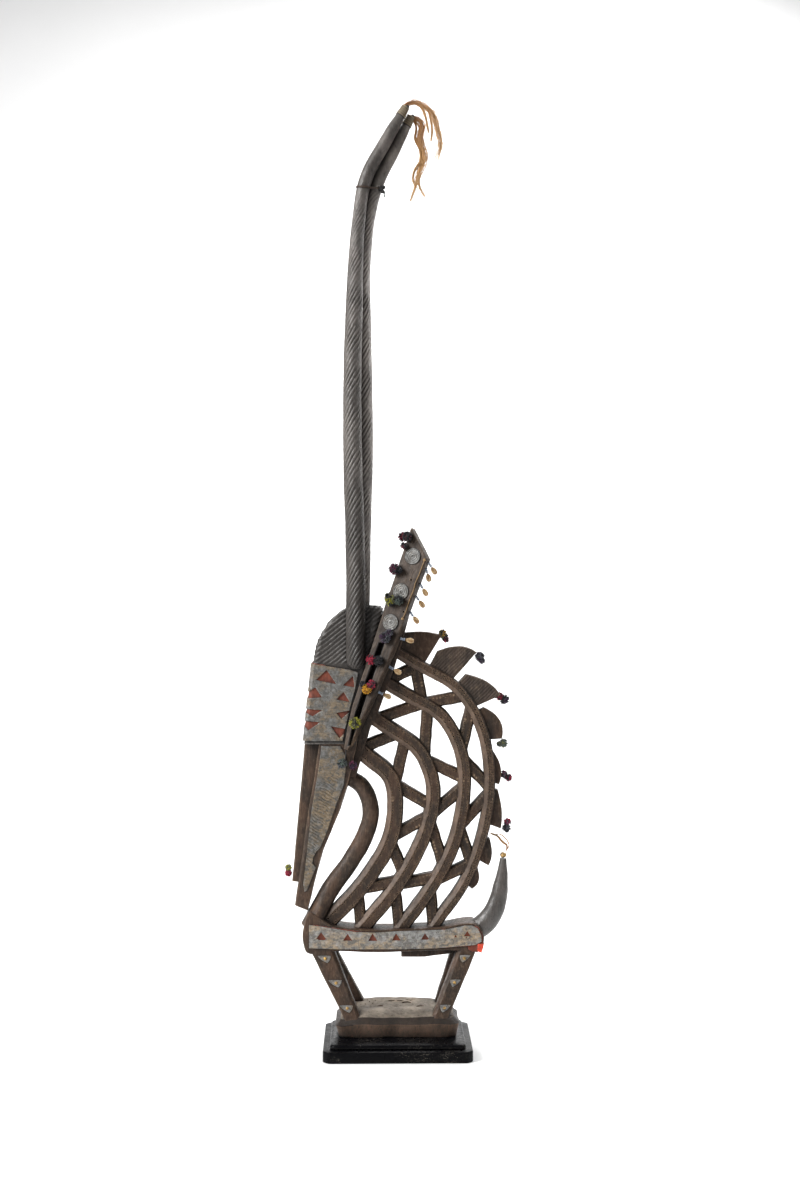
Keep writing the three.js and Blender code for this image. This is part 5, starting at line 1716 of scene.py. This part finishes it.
def horn_binding():
    """Dark cord wound round both horns in close turns, knotted, with a loose end"""
    radius = horn_diameter("far", BINDING["far"]) / 2
    points = []
    for t in steps(0, BINDING_TURNS, BINDING_TURNS * 50):
        offset = (t / BINDING_TURNS - 0.5) * 0.0028
        near, far = (horn_middle(which, share + offset) for which, share in BINDING.items())
        points.append(stadium(near, far, t % 1.0, radius + 0.9))
    rope = skinned("rope", rope_rings(points, 1.5), FINISHES["dark_cord"])
    across = HORNS["far"].at(BINDING["far"])[2]
    knot_at = horn_middle("far", BINDING["far"]) - across * (radius - 2) + Vector((0, -8, 0))
    knots = [knot_ball("knot", knot_at + Vector(shift), size, FINISHES["black_cord"], 0.6)
             for shift, size in (((0, 0, 0), 3.4), ((4.5, 1, 2.5), 2.6), ((3, 0, -4.5), 2.8),
                                 ((-4, 0, 2), 2.0))]
    tail = [knot_at + Vector(shift) for shift in ((0, 0, 0), (4, -1, -3), (6, -1, -9), (4.5, 0, -13))]
    end = skinned("loose_end", rope_rings(spaced(tail, 0.8), 1.9), FINISHES["black_cord"])
    return smoothed(joined("horn_binding_cord", [rope, *knots, end], "UNION"), 60)


def horn_middle(which, share):
    return HORNS[which].at(share)[0] + Vector((0, horn_depth(which, share), 0))


def stadium(first, second, turn, radius):
    """A point on the loop that a cord makes round two posts"""
    gap = second - first
    axis = gap.normalized()
    side = axis.cross(HORNS["near"].at(BINDING["near"])[1]).normalized()
    straight = gap.length
    around = math.pi * radius
    run = turn * 2 * (straight + around)
    if run < straight:
        return first + axis * run + side * radius
    if run < straight + around:
        angle = (run - straight) / radius
        return second + side * math.cos(angle) * radius + axis * math.sin(angle) * radius
    if run < 2 * straight + around:
        return second - axis * (run - straight - around) - side * radius
    angle = (run - 2 * straight - around) / radius
    return first - side * math.cos(angle) * radius - axis * math.sin(angle) * radius


# Plinth

PLINTH_EDGE = [(1.5, 0), (0.4, 0.4), (0, 1.5), (0, 15.5), (0.4, 16.6), (1.5, 17), (14, 17), (14, 18.5),
               (10.4, 18.5), (10, 18.9), (10, 21), (10.4, 22.4), (11.4, 23.5), (13, 24)]
PLINTH_CORNER = 8


def plinth_rings():
    """The plinth: a chamfer-cornered slab and a round-cornered step, with a cove between them"""
    width, depth = PLINTH_HIGH.x - PLINTH_LOW.x, PLINTH_HIGH.y - PLINTH_LOW.y
    rings = []
    for cut, z in PLINTH_EDGE:
        across, deep = width - 2 * cut, depth - 2 * cut
        step = z > 17
        section = eased_section(across, deep, PLINTH_CORNER, 7 if step else 2)
        if not step:
            section = softened(section, 0.8)
        rings.append([Vector((x, y, z)) for x, y in resampled(section, 240)])
    return rings


# Operators, one for each piece or group of like pieces


class HEADDRESS_OT_plinth(bpy.types.Operator):
    """Builds the black plinth"""
    bl_idname = "headdress.plinth"
    bl_label = "Plinth"

    def execute(self, context):
        made = skinned("plinth_painted", plinth_rings(), FINISHES["paint"])
        piece(smoothed(made, 40), "black_paint", "plinth")
        return {"FINISHED"}


class HEADDRESS_OT_carving(bpy.types.Operator):
    """Builds the carved antelope with its base block, horns, ears and mane"""
    bl_idname = "headdress.carving"
    bl_label = "Antelope carving"

    def execute(self, context):
        piece(carving(), "carved_wood", "antelope")
        return {"FINISHED"}


class HEADDRESS_OT_sheets(bpy.types.Operator):
    """Builds the head band, the face sheets and the body strips"""
    bl_idname = "headdress.sheets"
    bl_label = "Sheet metal"

    def execute(self, context):
        band = dented("head_band_sheet", "head_band", FINISHES["band_metal"], band_outward, 0.8, 2.0,
                      marks=band_marks)
        piece(band, "sheet_metal", "head_band")
        for name, side in SIDES.items():
            for part, paint in (("face_sheet", "face_metal"), ("body_strip", "metal")):
                made = dented(f"{part}_{name}_sheet", f"{part}_{name}", FINISHES[paint],
                              flank_outward(side), 0.8, 1.6, seed=side * 4.0,
                              marks=face_marks if part == "face_sheet" else None)
                if part == "body_strip":
                    made = smoothed(joined(made.name, [made], "DIFFERENCE", strip_cutters(side), "EXACT"), 45)
                piece(made, "sheet_metal", f"{part}_{name}")
        return {"FINISHED"}


class HEADDRESS_OT_cloth(bpy.types.Operator):
    """Builds the red cloth behind the sheet metal"""
    bl_idname = "headdress.cloth"
    bl_label = "Red cloth"

    def execute(self, context):
        made = dented("head_cloth_woven", "head_cloth", FINISHES["cloth"], band_outward, 0.12, 5)
        top = max(v.co.z for v in made.data.vertices)
        for v in made.data.vertices:
            v.co.z += 1.3 * MM * eased(-99, -105, v.co.x / MM) * (v.co.z > top - 3 * MM)
        piece(made, "red_cloth", "head_cloth")
        span, surface = wrapped_size(made)
        for name, side in SIDES.items():
            made = dented(f"body_cloth_{name}_woven", f"body_cloth_{name}", FINISHES["cloth"],
                          flank_outward(side), 0.12, 2, 5, side * 3.0, scrap_folds, ragged=0.3)
            made.data.materials.append(FINISHES["scrap"])
            for face in made.data.polygons:
                face.material_index = int(scrap_share(face.center / MM) > 0.5)
            piece(made, "red_cloth", f"body_cloth_{name}")
            width, long, surface = flat_size(made)
        return {"FINISHED"}


class HEADDRESS_OT_leg_plates(bpy.types.Operator):
    """Builds the small metal triangles on the legs"""
    bl_idname = "headdress.leg_plates"
    bl_label = "Leg plates"

    def execute(self, context):
        for name, leg in LEGS.items():
            width = LEG_PLATE_WIDTHS[name.split("_")[0]]
            for i, z in enumerate(LEG_PLATE_HEIGHTS):
                node_name = f"leg_plate_{name}_{i + 1}"
                piece(leg_plate(node_name + "_sheet", leg, width, z), "sheet_metal", node_name)
        return {"FINISHED"}


class HEADDRESS_OT_discs(bpy.types.Operator):
    """Builds the stamped discs on the ears"""
    bl_idname = "headdress.discs"
    bl_label = "Ear discs"

    def execute(self, context):
        for name, side in SIDES.items():
            for i, share in enumerate(DISC_SHARES):
                node_name = f"ear_disc_{name}_{i + 1}"
                piece(disc(node_name + "_stamped", side, share, i + side * 5.0), "sheet_metal", node_name)
        return {"FINISHED"}


class HEADDRESS_OT_cords(bpy.types.Operator):
    """Builds the gilt cords on the ears and the binding round the horns"""
    bl_idname = "headdress.cords"
    bl_label = "Cords"

    def execute(self, context):
        for name, side in SIDES.items():
            piece(ear_cord(side), "gold_cord", f"ear_cord_{name}")
        piece(horn_binding(), "dark_cord", "horn_binding")
        return {"FINISHED"}


class HEADDRESS_OT_cowries(bpy.types.Operator):
    """Builds the cowries on their bead strings"""
    bl_idname = "headdress.cowries"
    bl_label = "Cowrie drops"

    def execute(self, context):
        for i in range(len(COWRIE_SHARES)):
            piece(cowrie_drop(i), "shell", f"cowrie_{i + 1}")
        return {"FINISHED"}


class HEADDRESS_OT_pompons(bpy.types.Operator):
    """Builds the wool pompons"""
    bl_idname = "headdress.pompons"
    bl_label = "Wool pompons"

    def execute(self, context):
        tree, identifiers = pompon_tree()
        for seed, name in enumerate(POMPONS):
            piece(pompon(name, tree, identifiers, seed + 1), "wool", name)
        return {"FINISHED"}


class HEADDRESS_OT_tufts(bpy.types.Operator):
    """Builds the tufts of hair on the horn tips and the tail"""
    bl_idname = "headdress.tufts"
    bl_label = "Hair tufts"

    def execute(self, context):
        tree, identifiers = tuft_tree()
        for seed, name in enumerate(TUFTS):
            piece(tuft(name, tree, identifiers, seed + 3), "hair", name)
        for which in HORNS:
            piece(smoothed(wrapped_tip(which), 60), "gold_cord")
        low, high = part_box("tail_tuft")
        centre = Vector((high.x / MM - 8, MIDDLE, low.z / MM + 5))
        piece(smoothed(knot_ball("tail_ball", centre, 4.6, FINISHES["boss"], 0.25), 60), "hair")
        return {"FINISHED"}


class HEADDRESS_OT_stage(bpy.types.Operator):
    """Builds the pale floor, the studio light and the camera"""
    bl_idname = "headdress.stage"
    bl_label = "Stage"

    def execute(self, context):
        floor = skinned("floor", floor_rings(), pale_floor("Seamless studio paper"))
        smoothed(floor, 60)
        studio_lights()
        camera()
        return {"FINISHED"}


# Floor, light and camera


def floor_rings():
    """A pale sweep: a floor that curves up into a backdrop, 3 mm thick"""
    profile = [(-6000, 0), (2600, 0)]
    profile += [(2600 + 1500 * math.sin(a), 1500 - 1500 * math.cos(a)) for a in steps(0, math.pi / 2, 16)[1:]]
    profile.append((4100, 6000))
    back = [(y + 3, z - 3) for y, z in reversed(profile)]
    return [[Vector((x, y, z)) for y, z in profile + back] for x in (-6000, 6000)]


def area_light(name, place_mm, target_mm, size_mm, watts, spread=180):
    light = bpy.data.lights.new(name, "AREA")
    light.energy = watts
    light.shape = "RECTANGLE"
    light.size, light.size_y = (s * MM for s in size_mm)
    light.spread = math.radians(spread)
    made = added(name, light)
    made.location = Vector(place_mm) * MM
    made.rotation_euler = (Vector(target_mm) - Vector(place_mm)).to_track_quat("-Z", "Y").to_euler()


def studio_lights():
    """One large soft light from the upper left, a weaker fill from the right, and an even white room"""
    world = bpy.data.worlds.new("White studio")
    world.use_nodes = True
    sockets = world.node_tree.nodes["Background"].inputs
    sockets["Color"].default_value = opaque(linear("#ffffff"))
    sockets["Strength"].default_value = 0.1
    bpy.context.scene.world = world
    bpy.context.scene.view_settings.view_transform = "Standard"
    target = (0, 0, 600)
    area_light("Key", (-2280, -1270, 2100), target, (1400, 1400), 195)
    area_light("Fill", (2200, -1700, 1300), target, (1600, 1800), 6)
    area_light("Horn fill", (2300, 300, 2100), (0, 0, 1100), (900, 900), 9, 60)
    area_light("Backdrop", (500, 2000, 2900), (300, 2300, 0), (3200, 2600), 210)


CAMERA_PLACE = (-35.0, -2488.67, 742.67)
CAMERA_YAW, CAMERA_PITCH = 0.9, 1.58
LENS, SENSOR = 50, 36


def camera():
    """The camera at the photograph's viewing angle; the sensor's long side is the picture's height"""
    data = bpy.data.cameras.new("Camera")
    data.lens, data.sensor_width, data.sensor_fit = LENS, SENSOR, "AUTO"
    data.clip_end = 100
    made = added("Camera", data)
    yaw, pitch = math.radians(CAMERA_YAW), math.radians(CAMERA_PITCH)
    way = Vector((math.sin(yaw) * math.cos(pitch), math.cos(yaw) * math.cos(pitch), -math.sin(pitch)))
    made.location = Vector(CAMERA_PLACE) * MM
    made.rotation_euler = way.to_track_quat("-Z", "Y").to_euler()
    bpy.context.scene.camera = made


# The panel, and how the pieces are built

PIECE_OPERATORS = (
    HEADDRESS_OT_plinth, HEADDRESS_OT_carving, HEADDRESS_OT_sheets, HEADDRESS_OT_cloth,
    HEADDRESS_OT_leg_plates, HEADDRESS_OT_discs, HEADDRESS_OT_cords, HEADDRESS_OT_cowries,
    HEADDRESS_OT_pompons, HEADDRESS_OT_tufts, HEADDRESS_OT_stage,
)


class HEADDRESS_PT_panel(bpy.types.Panel):
    """Lists the pieces with their sizes and colours"""
    bl_label = "Headdress"
    bl_idname = "HEADDRESS_PT_panel"
    bl_space_type = "VIEW_3D"
    bl_region_type = "UI"
    bl_category = "Headdress"

    def draw(self, context):
        for operator in PIECE_OPERATORS:
            self.layout.operator(operator.bl_idname)
        for group in (context.scene.headdress_sizes, context.scene.headdress_colours):
            box = self.layout.box()
            for name in group.bl_rna.properties.keys():
                if name not in {"rna_type", "name"}:
                    box.prop(group, name)


CLASSES = (HeaddressSizes, HeaddressColours, *PIECE_OPERATORS, HEADDRESS_PT_panel)


def register():
    for made in CLASSES:
        bpy.utils.register_class(made)
    bpy.types.Scene.headdress_sizes = bpy.props.PointerProperty(type=HeaddressSizes)
    bpy.types.Scene.headdress_colours = bpy.props.PointerProperty(type=HeaddressColours)


def unregister():
    del bpy.types.Scene.headdress_sizes
    del bpy.types.Scene.headdress_colours
    for made in reversed(CLASSES):
        bpy.utils.unregister_class(made)


def main():
    register()
    FINISHES.update(finishes())
    for operator in PIECE_OPERATORS:
        group, name = operator.bl_idname.split(".")
        getattr(getattr(bpy.ops, group), name)()


if __name__ == "__main__":
    main()
